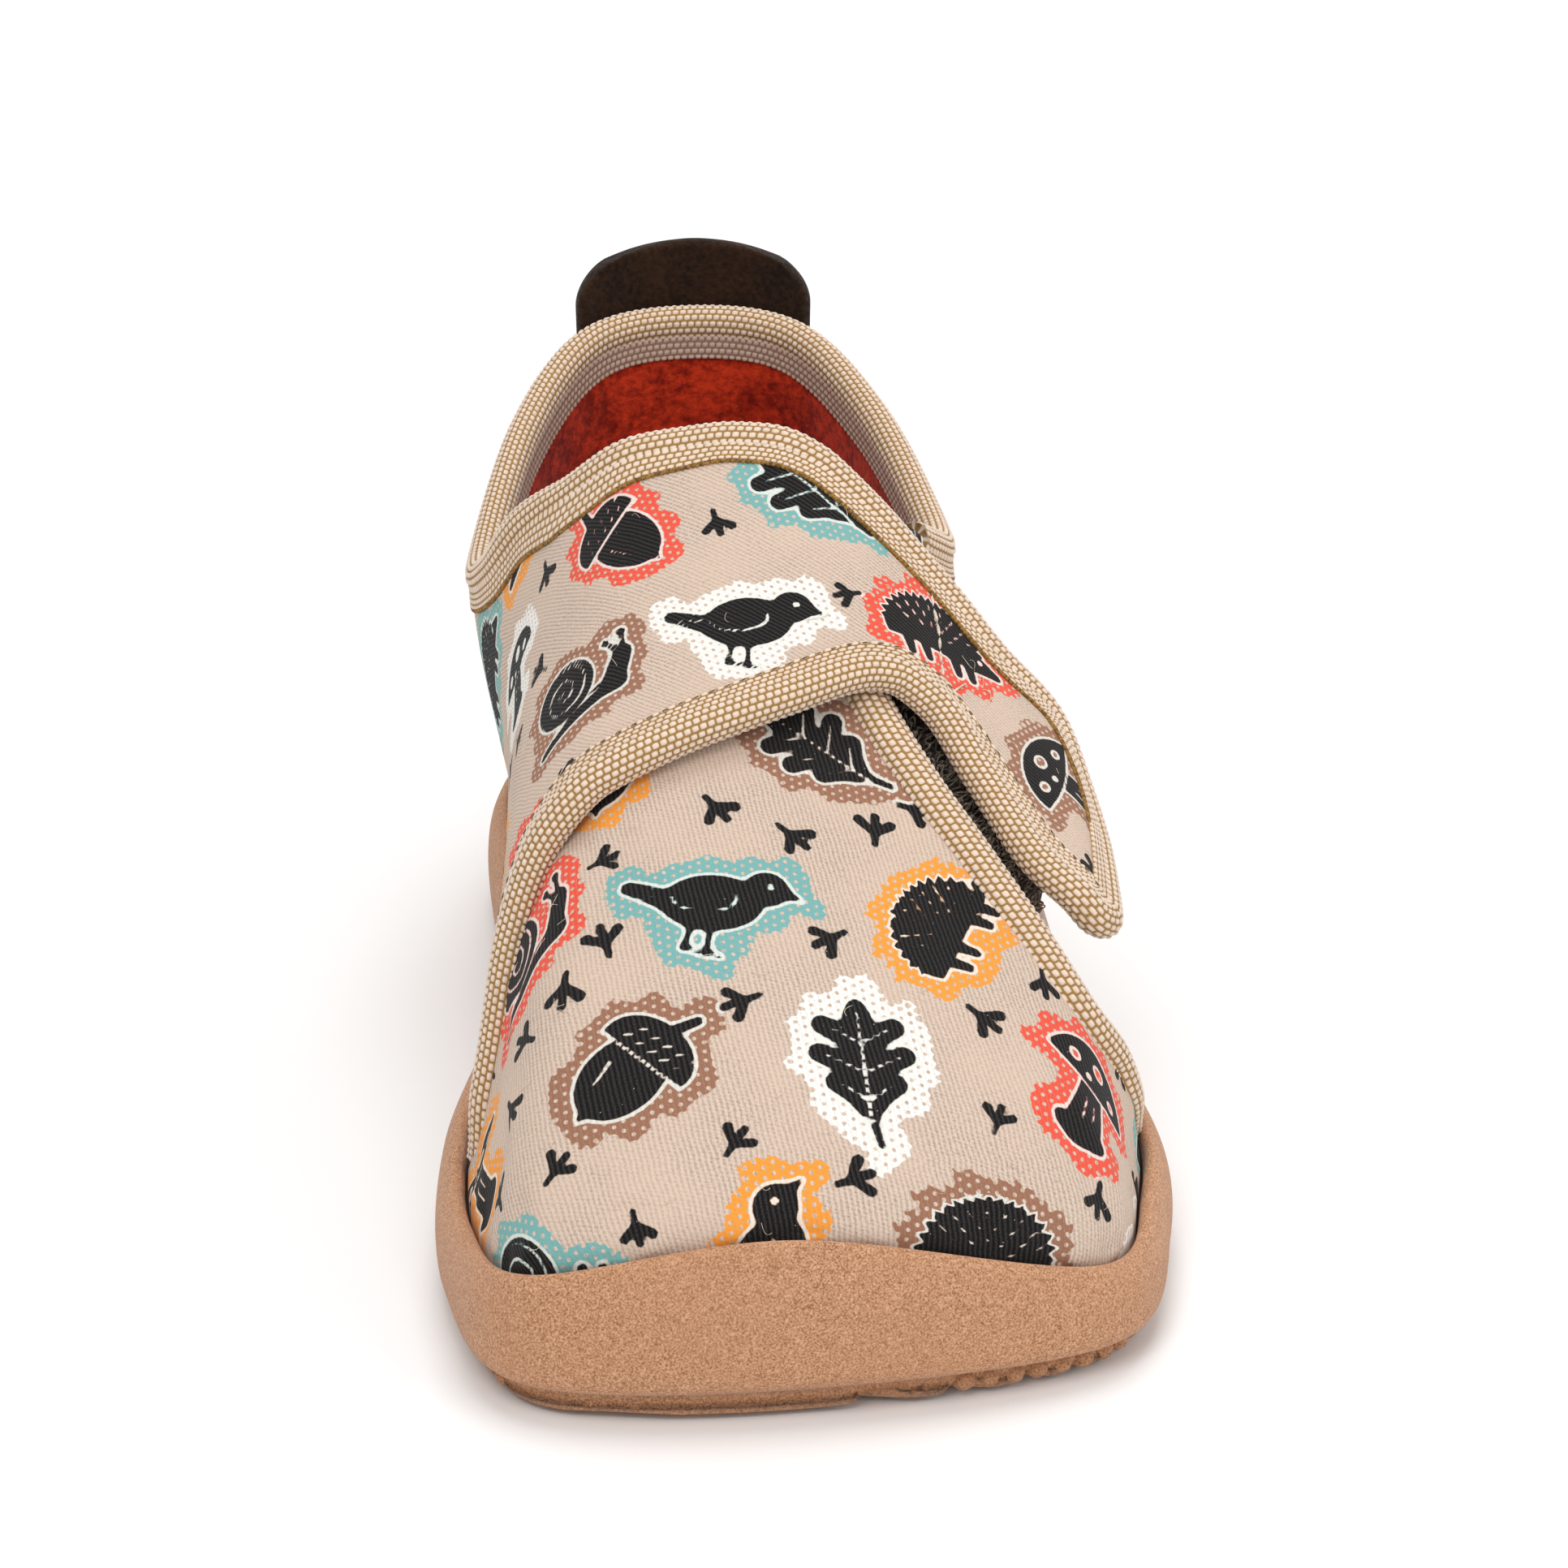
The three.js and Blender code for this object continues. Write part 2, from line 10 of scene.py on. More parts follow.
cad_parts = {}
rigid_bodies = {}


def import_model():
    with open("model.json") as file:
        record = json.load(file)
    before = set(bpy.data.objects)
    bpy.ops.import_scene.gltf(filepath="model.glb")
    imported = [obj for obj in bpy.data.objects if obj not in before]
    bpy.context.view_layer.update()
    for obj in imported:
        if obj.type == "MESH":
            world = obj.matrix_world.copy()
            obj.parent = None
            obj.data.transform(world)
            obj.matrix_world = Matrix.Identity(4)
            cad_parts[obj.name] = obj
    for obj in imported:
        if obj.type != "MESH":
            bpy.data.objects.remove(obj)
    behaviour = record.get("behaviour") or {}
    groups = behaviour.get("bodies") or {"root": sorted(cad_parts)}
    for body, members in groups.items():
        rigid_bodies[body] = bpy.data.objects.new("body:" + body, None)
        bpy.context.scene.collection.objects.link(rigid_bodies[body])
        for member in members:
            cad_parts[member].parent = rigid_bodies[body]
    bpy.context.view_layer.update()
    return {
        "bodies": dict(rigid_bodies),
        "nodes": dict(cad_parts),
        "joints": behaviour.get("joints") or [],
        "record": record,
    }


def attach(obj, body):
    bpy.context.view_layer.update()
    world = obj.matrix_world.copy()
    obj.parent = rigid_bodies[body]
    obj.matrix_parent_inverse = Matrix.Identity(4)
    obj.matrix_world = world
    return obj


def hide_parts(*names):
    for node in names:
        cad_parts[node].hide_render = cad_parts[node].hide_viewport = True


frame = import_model()
print("frame loaded")

mm = 0.001

# Sizes of the last in millimetres, the same as in the solids
last = {
    "soleLength": 148.0, "ballWidth": 71.0, "instepHeight": 67.0, "bumperHeight": 17.5,
    "wall": 2.2, "gap": 0.3, "treadThickness": 1.8, "treadTuck": 2.4, "toeSpring": 0.8,
    "footbedHeight": 5.0, "insoleThickness": 3.0, "lipWidth": 2.9, "lipDrop": 0.6,
    "tapeWidth": 3.6, "slack": 0.5, "loopThickness": 1.6, "hookThickness": 1.5,
    "lastedLift": -0.5, "diveShare": 0.12, "skirt": -0.1,
}
wall, gap, skirt = last["wall"], last["gap"], last["skirt"]
underlap = wall + last["slack"]
vampEdgeLift = wall / 2 + last["tapeWidth"] / 2 + gap + 0.8 * last["slack"] - underlap
sewnLift = wall + gap
restLift = wall / 2 + last["tapeWidth"] / 2 + gap
crossLift = vampEdgeLift + last["tapeWidth"] + gap
closedLift = last["loopThickness"] + last["slack"] + last["hookThickness"] + 2 * gap + wall - underlap
tipLift = closedLift + 2
upperInset = last["lipWidth"] + gap

# Places round the last in sixteenths, from the heel over the outer side to the toe and back
stationNames = ["across", "along", "lip", "rimAcross", "rimAlong", "rimHeight",
                "footReach", "footLean", "crownReach", "crownSlope"]
stations = np.array([
    [0.000, 0.000, 0.78, -0.008, 0.040, 0.905, 0.21, 14, 0.24, 92],  # heel
    [0.228, 0.035, 0.77, 0.160, 0.062, 0.885, 0.21, 14, 0.24, 92],
    [0.345, 0.140, 0.73, 0.265, 0.150, 0.810, 0.19, 12, 0.22, 92],
    [0.375, 0.320, 0.68, 0.330, 0.290, 0.715, 0.18, 4, 0.18, 88],  # waist, outer side
    [0.442, 0.500, 0.65, 0.309, 0.370, 0.770, 0.20, 11, 0.21, 79],
    [0.524, 0.680, 0.61, 0.248, 0.405, 0.875, 0.26, -11, 0.32, 56],  # ball, outer side
    [0.512, 0.820, 0.59, 0.162, 0.437, 0.945, 0.25, -12, 0.41, 45],
    [0.398, 0.952, 0.62, 0.076, 0.447, 0.985, 0.20, 8, 0.47, 41],
    [-0.025, 1.000, 1.03, -0.025, 0.450, 1.000, 0.14, -2, 0.57, 36],  # toe
    [-0.372, 0.976, 0.80, -0.132, 0.448, 0.985, 0.20, 6, 0.48, 40],
    [-0.462, 0.850, 0.63, -0.218, 0.438, 0.940, 0.25, -13, 0.37, 54],
    [-0.452, 0.690, 0.63, -0.299, 0.410, 0.860, 0.28, -15, 0.27, 85],  # ball, inner side
    [-0.370, 0.500, 0.65, -0.350, 0.370, 0.745, 0.21, -10, 0.20, 90],
    [-0.350, 0.320, 0.68, -0.368, 0.290, 0.690, 0.18, -2, 0.18, 90],  # waist, inner side
    [-0.340, 0.140, 0.73, -0.294, 0.150, 0.800, 0.19, 12, 0.22, 92],
    [-0.228, 0.035, 0.77, -0.180, 0.062, 0.885, 0.21, 14, 0.24, 92],
])

# Rows across the panel that is outer quarter, heel, inner quarter and strap
panelNames = ["lowRound", "lowShare", "highRound", "highShare", "lift"]
panelRows = np.array([
    [6.90, skirt, 7.00, 0.78, -underlap],  # front of the outer quarter, under the vamp
    [6.30, skirt, 6.10, 0.90, -underlap],
    [5.60, skirt, 5.10, 0.97, -underlap],
    [4.60, skirt, 4.20, 1.00, -0.7 * underlap],
    [3.50, skirt, 3.40, 1.00, -0.15 * underlap],
    [2.50, skirt, 2.50, 1.00, 0],
    [1.50, skirt, 1.50, 1.00, 0],
    [0.50, skirt, 0.50, 1.00, 0],
    [-0.50, skirt, -0.50, 1.00, 0],
    [-1.50, skirt, -1.50, 1.00, 0],
    [-2.50, skirt, -2.50, 1.00, 0],
    [-3.40, skirt, -3.50, 1.00, 0.1 * sewnLift],
    [-4.15, skirt, -4.30, 1.00, 0.2 * sewnLift],
    [-4.75, skirt, -4.90, 0.99, 0.3 * sewnLift],
    [-5.20, skirt, -5.40, 0.985, 0.35 * sewnLift],  # foot of the strap's front edge
    [-5.66, 0.27, -5.85, 0.982, 0.45 * sewnLift],
    [-6.17, 0.48, -6.30, 0.984, 0.75 * sewnLift],
    [-6.75, 0.595, -6.80, 0.985, 0.4 * sewnLift + 0.6 * restLift],
    [-7.50, 0.675, -7.50, 0.984, restLift],
    [-8.25, 0.714, -8.15, 0.982, 0.6 * restLift + 0.4 * crossLift],
    [-8.88, 0.722, -8.80, 0.966, crossLift],  # over the vamp's bound edge
    [-9.38, 0.676, -9.53, 0.906, 0.2 * closedLift + 0.8 * crossLift],
    [-9.58, 0.596, -10.02, 0.814, 0.8 * closedLift + 0.2 * crossLift],
    [-9.70, 0.496, -10.32, 0.712, 0.7 * closedLift + 0.3 * tipLift],
    [-9.84, 0.425, -10.66, 0.610, tipLift],
    [-9.96, 0.390, -10.66, 0.506, tipLift],
    [-10.12, 0.372, -10.52, 0.440, tipLift],  # tip
])
vampRows = np.array([  # share of the wall's height, place of the inner and of the outer edge
    [skirt, 10.80, 5.30], [0.00, 10.80, 5.35], [0.20, 10.75, 5.85], [0.32, 10.60, 6.25],
    [0.44, 10.45, 6.52], [0.55, 10.25, 6.77], [0.65, 10.00, 7.02], [0.75, 9.80, 7.14],
    [0.85, 9.60, 7.18], [0.93, 9.44, 7.20],
])


def mix(a, b, t):
    return a + (b - a) * t


def ease(low, high, x):
    t = np.clip((x - low) / (high - low), 0, 1)
    return t * t * (3 - 2 * t)


def unit(v):
    return v / np.maximum(np.linalg.norm(v, axis=-1, keepdims=True), 1e-12)


def throughFour(p, t):
    return 0.5 * (2 * p[1] + (p[2] - p[0]) * t + (2 * p[0] - 5 * p[1] + 4 * p[2] - p[3]) * t * t
                  + (3 * p[1] - p[0] - 3 * p[2] + p[3]) * t ** 3)


def roundLast(name, place):
    column = stations[:, stationNames.index(name)]
    first = np.floor(place).astype(int)
    return throughFour([column[(first + k) % 16] for k in (-1, 0, 1, 2)], place - first)


def alongRows(values, row):
    # a smooth value at a row number of a table, with the end rows held
    end = len(values) - 1
    first = np.clip(np.floor(row).astype(int), 0, end - 1)
    t = (row - first).reshape(np.shape(row) + (1,) * (values.ndim - 1))
    return throughFour([values[np.clip(first + k, 0, end)] for k in (-1, 0, 1, 2)], t)


def planPoint(place):
    return np.stack([roundLast("across", place) * last["ballWidth"],
                     last["soleLength"] * (0.5 - roundLast("along", place))], -1)


def turned(step):
    return np.stack([-step[..., 1], step[..., 0]], -1)


def solePlan(place, inset=0.0):
    outward = turned(unit(planPoint(place + 0.02) - planPoint(place - 0.02)))
    return planPoint(place) - outward * np.broadcast_to(inset, np.shape(place))[..., None], outward


def lipHeight(place):
    return roundLast("lip", place) * last["bumperHeight"]


def rimPoint(place):
    return np.stack([roundLast("rimAcross", place) * last["ballWidth"],
                     last["soleLength"] * (0.5 - roundLast("rimAlong", place)),
                     roundLast("rimHeight", place) * last["instepHeight"]], -1)


def lastCurve(place):
    plan, outward = solePlan(place, upperInset)
    foot = np.concatenate([plan, (lipHeight(place) - last["lipDrop"])[..., None]], -1)
    rim = rimPoint(place)
    rimOut = turned(unit((rimPoint(place + 0.02) - rimPoint(place - 0.02))[..., :2]))
    lean = np.radians(roundLast("footLean", place))[..., None]
    slope = np.radians(roundLast("crownSlope", place))[..., None]
    rise = np.concatenate([outward * np.sin(lean), np.cos(lean)], -1)
    fall = np.concatenate([rimOut * np.cos(slope), -np.sin(slope)], -1)
    footReach = roundLast("footReach", place)[..., None] * last["instepHeight"]
    crownReach = roundLast("crownReach", place)[..., None] * last["instepHeight"]
    return foot, foot + rise * footReach, rim + fall * crownReach, rim


def onLast(place, share):
    # the curve from the lip of the sole to the rim of the opening; past either end it runs on
    place, share = np.broadcast_arrays(np.asarray(place, float), np.asarray(share, float))
    a, b, c, d = lastCurve(place)
    t = np.clip(share, 0, 1)[..., None]
    point = (1 - t) ** 3 * a + 3 * (1 - t) ** 2 * t * b + 3 * (1 - t) * t * t * c + t ** 3 * d
    point = point + 3 * (d - c) * np.maximum(share - 1, 0)[..., None]
    hidden = np.where(share < 0, share / skirt, 0)
    point[..., 2] = mix(point[..., 2], last["footbedHeight"] + gap, hidden)
    return point


def lastNormal(place, share):
    at = np.clip(share, 0.005, 0.995)
    around = onLast(place + 0.02, at) - onLast(place - 0.02, at)
    up = onLast(place, at + 0.005) - onLast(place, at - 0.005)
    outward = solePlan(place)[1]
    flat = np.concatenate([outward, np.zeros(outward.shape[:-1] + (1,))], -1)
    return np.where((np.asarray(share) < 0)[..., None], flat, unit(np.cross(up, around)))


def lifted(place, share, lift):
    place, share, lift = np.broadcast_arrays(*(np.asarray(v, float) for v in (place, share, lift)))
    return onLast(place, share) + lastNormal(place, share) * lift[..., None]


def layerLift(lift, share):
    # every layer dives into the vamp's wall at the lip
    return mix(last["lastedLift"], lift, ease(0, last["diveShare"], share))


def panelAt(row):
    line = dict(zip(panelNames, np.moveaxis(alongRows(panelRows, row), -1, 0)))
    line["lowShare"] = np.maximum(skirt, line["lowShare"])
    return line


def vampSide(share, side):
    shares = vampRows[:, 0]
    step = np.clip(np.searchsorted(shares, share), 1, len(shares) - 1)
    row = step - 1 + (share - shares[step - 1]) / (shares[step] - shares[step - 1])
    return alongRows(vampRows[:, {"inner": 1, "outer": 2}[side]], row)


def vampLift(fromEdge, share):
    return vampEdgeLift * (1 - ease(0, 0.14, fromEdge)) * ease(0, last["diveShare"], share)


# The origin lies under the middle of the sole's plan
planCorners = planPoint(np.arange(64) / 4)
middle = np.append((planCorners.min(0) + planCorners.max(0)) / 2, 0)


# Meshes
def quadsOf(index, wrapRows=False, wrapColumns=False):
    if wrapRows:
        index = np.concatenate([index, index[:1]])
    if wrapColumns:
        index = np.concatenate([index, index[:, :1]], 1)
    return np.stack([index[:-1, :-1], index[1:, :-1], index[1:, 1:], index[:-1, 1:]], -1).reshape(-1, 4)


def volumeOf(points, faces):
    total = 0.0
    for group in faces:
        corners = points[np.asarray(group)]
        for k in range(1, corners.shape[1] - 1):
            total += np.einsum("ij,ij->", corners[:, 0], np.cross(corners[:, k], corners[:, k + 1]))
    return total


def makePiece(name, points, faces, materials, picks=None, flat=None, values=None, tint=None):
    # points in millimetres of the last; faces as arrays of equal-sided polygons
    if volumeOf(points, faces) < 0:
        faces = [np.asarray(group)[:, ::-1] for group in faces]
    mesh = bpy.data.meshes.new(name)
    mesh.from_pydata(((points - middle) * mm).tolist(), [], [f for g in faces for f in np.asarray(g).tolist()])
    mesh.polygons.foreach_set("use_smooth", np.ones(len(mesh.polygons), bool))
    for material in materials:
        mesh.materials.append(material)
    if picks is not None:
        mesh.polygons.foreach_set("material_index", np.concatenate(picks).astype(np.int32))
    if flat is not None:
        corner = np.zeros(len(mesh.loops), np.int32)
        mesh.loops.foreach_get("vertex_index", corner)
        layer = mesh.uv_layers.new(name="flat")
        layer.data.foreach_set("uv", flat[corner].astype(np.float32).ravel())
    for title, value in (values or {}).items():
        attribute = mesh.attributes.new(title, "FLOAT", "POINT")
        attribute.data.foreach_set("value", value.astype(np.float32).ravel())
    if tint is not None:
        attribute = mesh.attributes.new("tint", "FLOAT_COLOR", "POINT")
        attribute.data.foreach_set("color", np.c_[tint, np.ones(len(tint))].astype(np.float32).ravel())
    mesh.update()
    piece = bpy.data.objects.new(name, mesh)
    bpy.context.scene.collection.objects.link(piece)
    return piece


def wear(piece, node):
    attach(piece, "root")
    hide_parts(node)
    print(piece.name, "made,", sum(len(p.vertices) - 2 for p in piece.data.polygons), "triangles")


def resample(table, rows, columns):
    # smooth values between the points of a coarse grid
    half = alongRows(table, rows)
    return np.moveaxis(alongRows(np.moveaxis(half, 1, 0), columns), 0, 1)


def flatten(points):
    # the cloth laid flat, as it was cut: a least squares conformal map kept to its real area
    m, n = points.shape[:2]
    index = np.arange(m * n).reshape(m, n)
    quads = quadsOf(index)
    triangles = np.concatenate([quads[:, [0, 1, 2]], quads[:, [0, 2, 3]]])
    p = points.reshape(-1, 3)
    a, b, c = (p[triangles[:, k]] for k in range(3))
    x = unit(b - a)
    normal = np.cross(b - a, c - a)
    y = unit(np.cross(normal, x))
    corner = [np.zeros(len(a), complex), ((b - a) * x).sum(1) + 0j, ((c - a) * x).sum(1) + 1j * ((c - a) * y).sum(1)]
    area = np.linalg.norm(normal, axis=1) / 2
    system = np.zeros((len(a), m * n), complex)
    for k in range(3):
        weight = (corner[(k + 2) % 3] - corner[(k + 1) % 3]) / np.sqrt(2 * np.maximum(area, 1e-9))
        np.add.at(system, (np.arange(len(a)), triangles[:, k]), weight)
    pins = [index[m // 2, 0], index[m // 2, n - 1]]
    free = np.setdiff1d(np.arange(m * n), pins)
    span = np.linalg.norm(p[pins[1]] - p[pins[0]])
    right = -system[:, pins] @ np.array([0, 1j * span])
    part = system[:, free]
    whole = np.block([[part.real, -part.imag], [part.imag, part.real]])
    answer = np.linalg.solve(whole.T @ whole, whole.T @ np.concatenate([right.real, right.imag]))
    laid = np.zeros((m * n, 2))
    laid[free] = np.stack([answer[:len(free)], answer[len(free):]], 1)
    laid[pins] = [[0, 0], [0, span]]
    one, two = laid[triangles[:, 1]] - laid[triangles[:, 0]], laid[triangles[:, 2]] - laid[triangles[:, 0]]
    laidArea = np.abs(one[:, 0] * two[:, 1] - one[:, 1] * two[:, 0]).sum() / 2
    laid = laid * np.sqrt(area.sum() / laidArea)
    return laid.reshape(m, n, 2)


def clothSheet(outer, inner, flat, coarse=4):
    # an outer grid of points and a coarser lining, closed along their rim
    m, n = outer.shape[:2]
    front = np.arange(m * n).reshape(m, n)
    back = m * n + np.arange(inner.shape[0] * inner.shape[1]).reshape(inner.shape[:2])
    rim = []
    for fine, wide in ((front[::-1, 0], back[::-1, 0]), (front[:, -1], back[:, -1]),
                       (front[0], back[0]), (front[-1, ::-1], back[-1, ::-1])):
        for k in range(len(wide) - 1):
            f, a, b = fine[coarse * k:coarse * k + 5], wide[k], wide[k + 1]
            rim += [[a, f[0], f[1]], [a, f[1], f[2]], [a, f[2], b], [b, f[2], f[3]], [b, f[3], f[4]]]
    faces = [quadsOf(front), quadsOf(back[:, ::-1]), np.array(rim)]
    picks = [np.zeros(len(faces[0])), np.ones(len(faces[1])), np.zeros(len(faces[2]))]
    points = np.concatenate([outer.reshape(-1, 3), inner.reshape(-1, 3)])
    flats = np.concatenate([flat.reshape(-1, 2), flat[::coarse, ::coarse].reshape(-1, 2)])
    return points, faces, picks, flats


# Materials
class Wire:
    # one output socket; maths on it adds Math nodes
    def __init__(self, socket):
        self.socket = socket

    def maths(self, operation, *values):
        node = self.socket.id_data.nodes.new("ShaderNodeMath")
        node.operation = operation
        for slot, value in zip(node.inputs, values):
            plug(slot, value)
        return Wire(node.outputs[0])

    def __add__(self, other):
        return self.maths("ADD", self, other)

    def __radd__(self, other):
        return self.maths("ADD", other, self)

    def __sub__(self, other):
        return self.maths("SUBTRACT", self, other)

    def __rsub__(self, other):
        return self.maths("SUBTRACT", other, self)

    def __mul__(self, other):
        return self.maths("MULTIPLY", self, other)

    def __rmul__(self, other):
        return self.maths("MULTIPLY", other, self)

    def sine(self):
        return self.maths("SINE", self)

    def cosine(self):
        return self.maths("COSINE", self)

    def atLeast(self, other):
        return self.maths("MAXIMUM", self, other)

    def size(self):
        return self.maths("ABSOLUTE", self)


def plug(slot, value):
    if isinstance(value, Wire):
        slot.id_data.links.new(value.socket, slot)
    elif isinstance(value, tuple) and len(value) == 3 and len(slot.default_value) == 4:
        slot.default_value = (*value, 1.0)
    else:
        slot.default_value = value


class Finish:
    # a material's tree; node() takes a type, its settings and the values or links of its sockets
    def __init__(self, name):
        self.material = bpy.data.materials.new(name)
        self.material.use_nodes = True
        self.tree = self.material.node_tree
        self.tree.nodes.clear()

    def node(self, kind, settings=None, sockets=None, out=0):
        node = self.tree.nodes.new("ShaderNode" + kind)
        for key, value in (settings or {}).items():
            if key == "stops":
                while len(node.color_ramp.elements) < len(value):
                    node.color_ramp.elements.new(0.5)
                for element, (place, colour) in zip(node.color_ramp.elements, value):
                    element.position, element.color = place, (*colour, 1)
            else:
                setattr(node, key, value)
        for key, value in (sockets or {}).items():
            plug(node.inputs[key], value)
        return Wire(node.outputs[out]) if node.outputs else None

    def place(self):
        return self.node("TexCoord", out="Object")

    def flat(self):
        return self.node("UVMap", {"uv_map": "flat"})

    def value(self, title):
        return self.node("Attribute", {"attribute_name": title}, out="Fac")

    def tint(self, title):
        return self.node("Attribute", {"attribute_name": title}, out="Color")

    def noise(self, where, scale, detail=2.0, roughness=0.5):
        return self.node("TexNoise", None, {"Vector": where, "Scale": scale, "Detail": detail,
                                            "Roughness": roughness}, out="Fac")

    def stretch(self, where, scale, turn=(0, 0, 0)):
        return self.node("Mapping", None, {"Vector": where, "Rotation": turn, "Scale": scale})

    def parts(self, where):
        return [self.node("SeparateXYZ", None, {"Vector": where}, out=k) for k in range(3)]

    def blend(self, low, high, share, kind="MIX"):
        node = self.tree.nodes.new("ShaderNodeMix")
        node.data_type, node.blend_type = "RGBA", kind
        plug(node.inputs[0], share)
        plug(node.inputs[6], low)
        plug(node.inputs[7], high)
        return Wire(node.outputs[2])

    def step(self, value, low, high, start=0.0, end=1.0):
        # a smooth step of a value from low to high
        return self.node("MapRange", {"interpolation_type": "SMOOTHSTEP"},
                         {"Value": value, "From Min": low, "From Max": high, "To Min": start, "To Max": end})

    def done(self, colour, roughness, bumps, sheen=0.0, sheenRoughness=0.5, specular=0.3):
        # bumps: height wire, its depth in metres and its strength, coarse ones first
        normal = None
        for height, depth, strength in bumps:
            sockets = {"Height": height, "Distance": depth, "Strength": strength}
            if normal is not None:
                sockets["Normal"] = normal
            normal = self.node("Bump", None, sockets)
        shader = self.node("BsdfPrincipled", None, {
            "Base Color": colour, "Roughness": roughness, "Normal": normal, "Sheen Weight": sheen,
            "Sheen Roughness": sheenRoughness, "Specular IOR Level": specular})
        self.node("OutputMaterial", None, {"Surface": shader})
        return self.material


def srgb(*levels):
    return tuple((v / 255 / 12.92) if v < 10 else ((v / 255 + 0.055) / 1.055) ** 2.4 for v in levels)


twillLook = {
    "cloth": (213, 192, 176), "clothDeep": (158, 137, 121), "clothWarm": (212, 188, 168),
    "ink": (13, 12, 13), "inkWorn": (62, 58, 56), "outline": (226, 226, 218), "lint": (188, 184, 176),
    "pitch": 0.48, "grain": 0.14, "dotPitch": 0.95,  # millimetres
}


def makeTwill(name, turn):
    look, f = twillLook, Finish(name)
    flat = f.flat()
    u, v, _ = f.parts(flat)
    a = math.radians(turn)
    wander = f.noise(flat, 0.25, 1.0) * 5.0
    slub = f.noise(f.stretch(flat, (1.0, 1.0, 1.0)), 2.6, 2.0)
    phase = (u * math.cos(a) + v * math.sin(a)) * (2 * math.pi / look["pitch"])
    rib = (phase + wander + slub * 1.6).sine() * 0.5 + 0.5
    cross = (u * (-math.sin(a)) + v * math.cos(a)) * (2 * math.pi / 0.42)
    yarn = (cross + phase * 0.5 + slub * 2.0).sine() * 0.5 + 0.5
    fuzz = f.noise(flat, 1 / look["grain"], 2.0, 0.6)
    cloud = f.noise(flat, 0.09, 2.0)
    nap = f.noise(flat, 2.4, 3.0, 0.75)
    colour = f.blend(srgb(*look["clothDeep"]), srgb(*look["cloth"]),
                     f.step(rib * 0.3 + fuzz * 1.0 + nap * 0.7 + yarn * 0.1, 0.66, 1.28))
    colour = f.blend(colour, srgb(*look["clothWarm"]), f.step(cloud, 0.35, 0.7, 0.0, 0.45))
    # the print: a tinted halo with bare dots, a pale outline and the ink
    ink, halo = f.value("ink"), f.value("halo")
    rough = (f.noise(flat, 2.1, 2.0) - 0.5) * 0.32
    turnOf = 2 * math.pi / (look["dotPitch"] * math.sqrt(0.75))
    lattice = (u * turnOf).cosine()
    for way in (60, 120):
        along = (u * math.cos(math.radians(way)) + v * math.sin(math.radians(way))) * turnOf
        lattice = lattice + along.cosine()
    edge = halo + lattice * 0.13 + rough * 0.4
    haloMask = f.step(edge, -0.1, 0.1, 1.0, 0.0)
    dots = f.step(lattice + rough * 1.4, 1.0, 2.1, 1.0, 0.0)
    streak = f.step(fuzz * 0.6 + rib * 0.4, 0.12, 0.42)
    tinted = haloMask * dots * (streak * 0.6 + 0.4)
    colour = f.blend(colour, f.blend(f.tint("tint"), colour, 0.1), tinted)
    near = ink + rough * 0.5
    paleMask = f.step((near - 0.16).size(), 0.1, 0.24, 1.0, 0.0) * haloMask
    colour = f.blend(colour, srgb(*look["outline"]), paleMask * (streak * 0.5 + 0.35))
    inkMask = f.step(near, -0.08, 0.06, 1.0, 0.0)
    inkColour = f.blend(srgb(*look["ink"]), srgb(*look["inkWorn"]), f.step(fuzz * 0.75 + rib * 0.25, 0.36, 0.86))
    colour = f.blend(colour, inkColour, inkMask)
    lint = f.node("TexVoronoi", {"feature": "F1"}, {"Vector": flat, "Scale": 0.8, "Randomness": 1.0}, out="Distance")
    colour = f.blend(colour, srgb(*look["lint"]), f.step(lint, 0.03, 0.055, 0.75, 0.0) * inkMask)
    roughness = f.step(rib, 0.0, 1.0, 0.95, 0.85)
    return f.done(colour, roughness, [(rib * 0.8 + yarn * 0.25, 0.00006, 0.45), (nap, 0.00008, 0.5), (fuzz, 0.00005, 0.6)],
                  sheen=0.05, sheenRoughness=0.6, specular=0.12)


def makeFelt(name, light, dark, grain=0.35):
    f = Finish(name)
    place = f.place()
    tuft = f.noise(place, 1000 / grain / 2, 3.0, 0.65)
    patch = f.noise(place, 190, 2.0)
    colour = f.blend(srgb(*dark), srgb(*light), f.step(tuft * 0.7 + patch * 0.4, 0.35, 0.75))
    return f.done(colour, 0.97, [(patch, 0.0006, 0.5), (tuft, 0.0004, 0.8)], sheen=0.12,
                  sheenRoughness=0.5, specular=0.1)


tapeLook = {"bead": (229, 209, 191), "beadShade": (202, 179, 157), "gap": (158, 120, 68),
            "strand": 0.16}  # millimetres between the strands of a bead
# the same bead tape's colours made darker for its face inside the collar: painted shade
shadedTapeLook = {"bead": (206, 180, 164), "beadShade": (180, 151, 134), "gap": (144, 114, 96), "strand": 0.16}


def makeTape(name, look):
    f = Finish(name)
    flat = f.flat()
    _, v, _ = f.parts(flat)
    weave = f.value("weave")
    fuzz = f.noise(flat, 5.0, 2.0, 0.6)
    tone = f.noise(flat, 0.8, 2.0)
    strand = (v * (2 * math.pi / look["strand"]) + fuzz * 3.0).sine() * 0.5 + 0.5
    bead = f.blend(srgb(*look["beadShade"]), srgb(*look["bead"]), f.step(weave * 0.5 + tone * 0.7 + strand * 0.1, 0.3, 0.9))
    colour = f.blend(srgb(*look["gap"]), bead, f.step(weave + (fuzz - 0.5) * 0.16, 0.16, 0.5))
    return f.done(colour, 0.86, [(strand * 0.6 + fuzz * 0.4, 0.00004, 0.6)], sheen=0.1, specular=0.25)


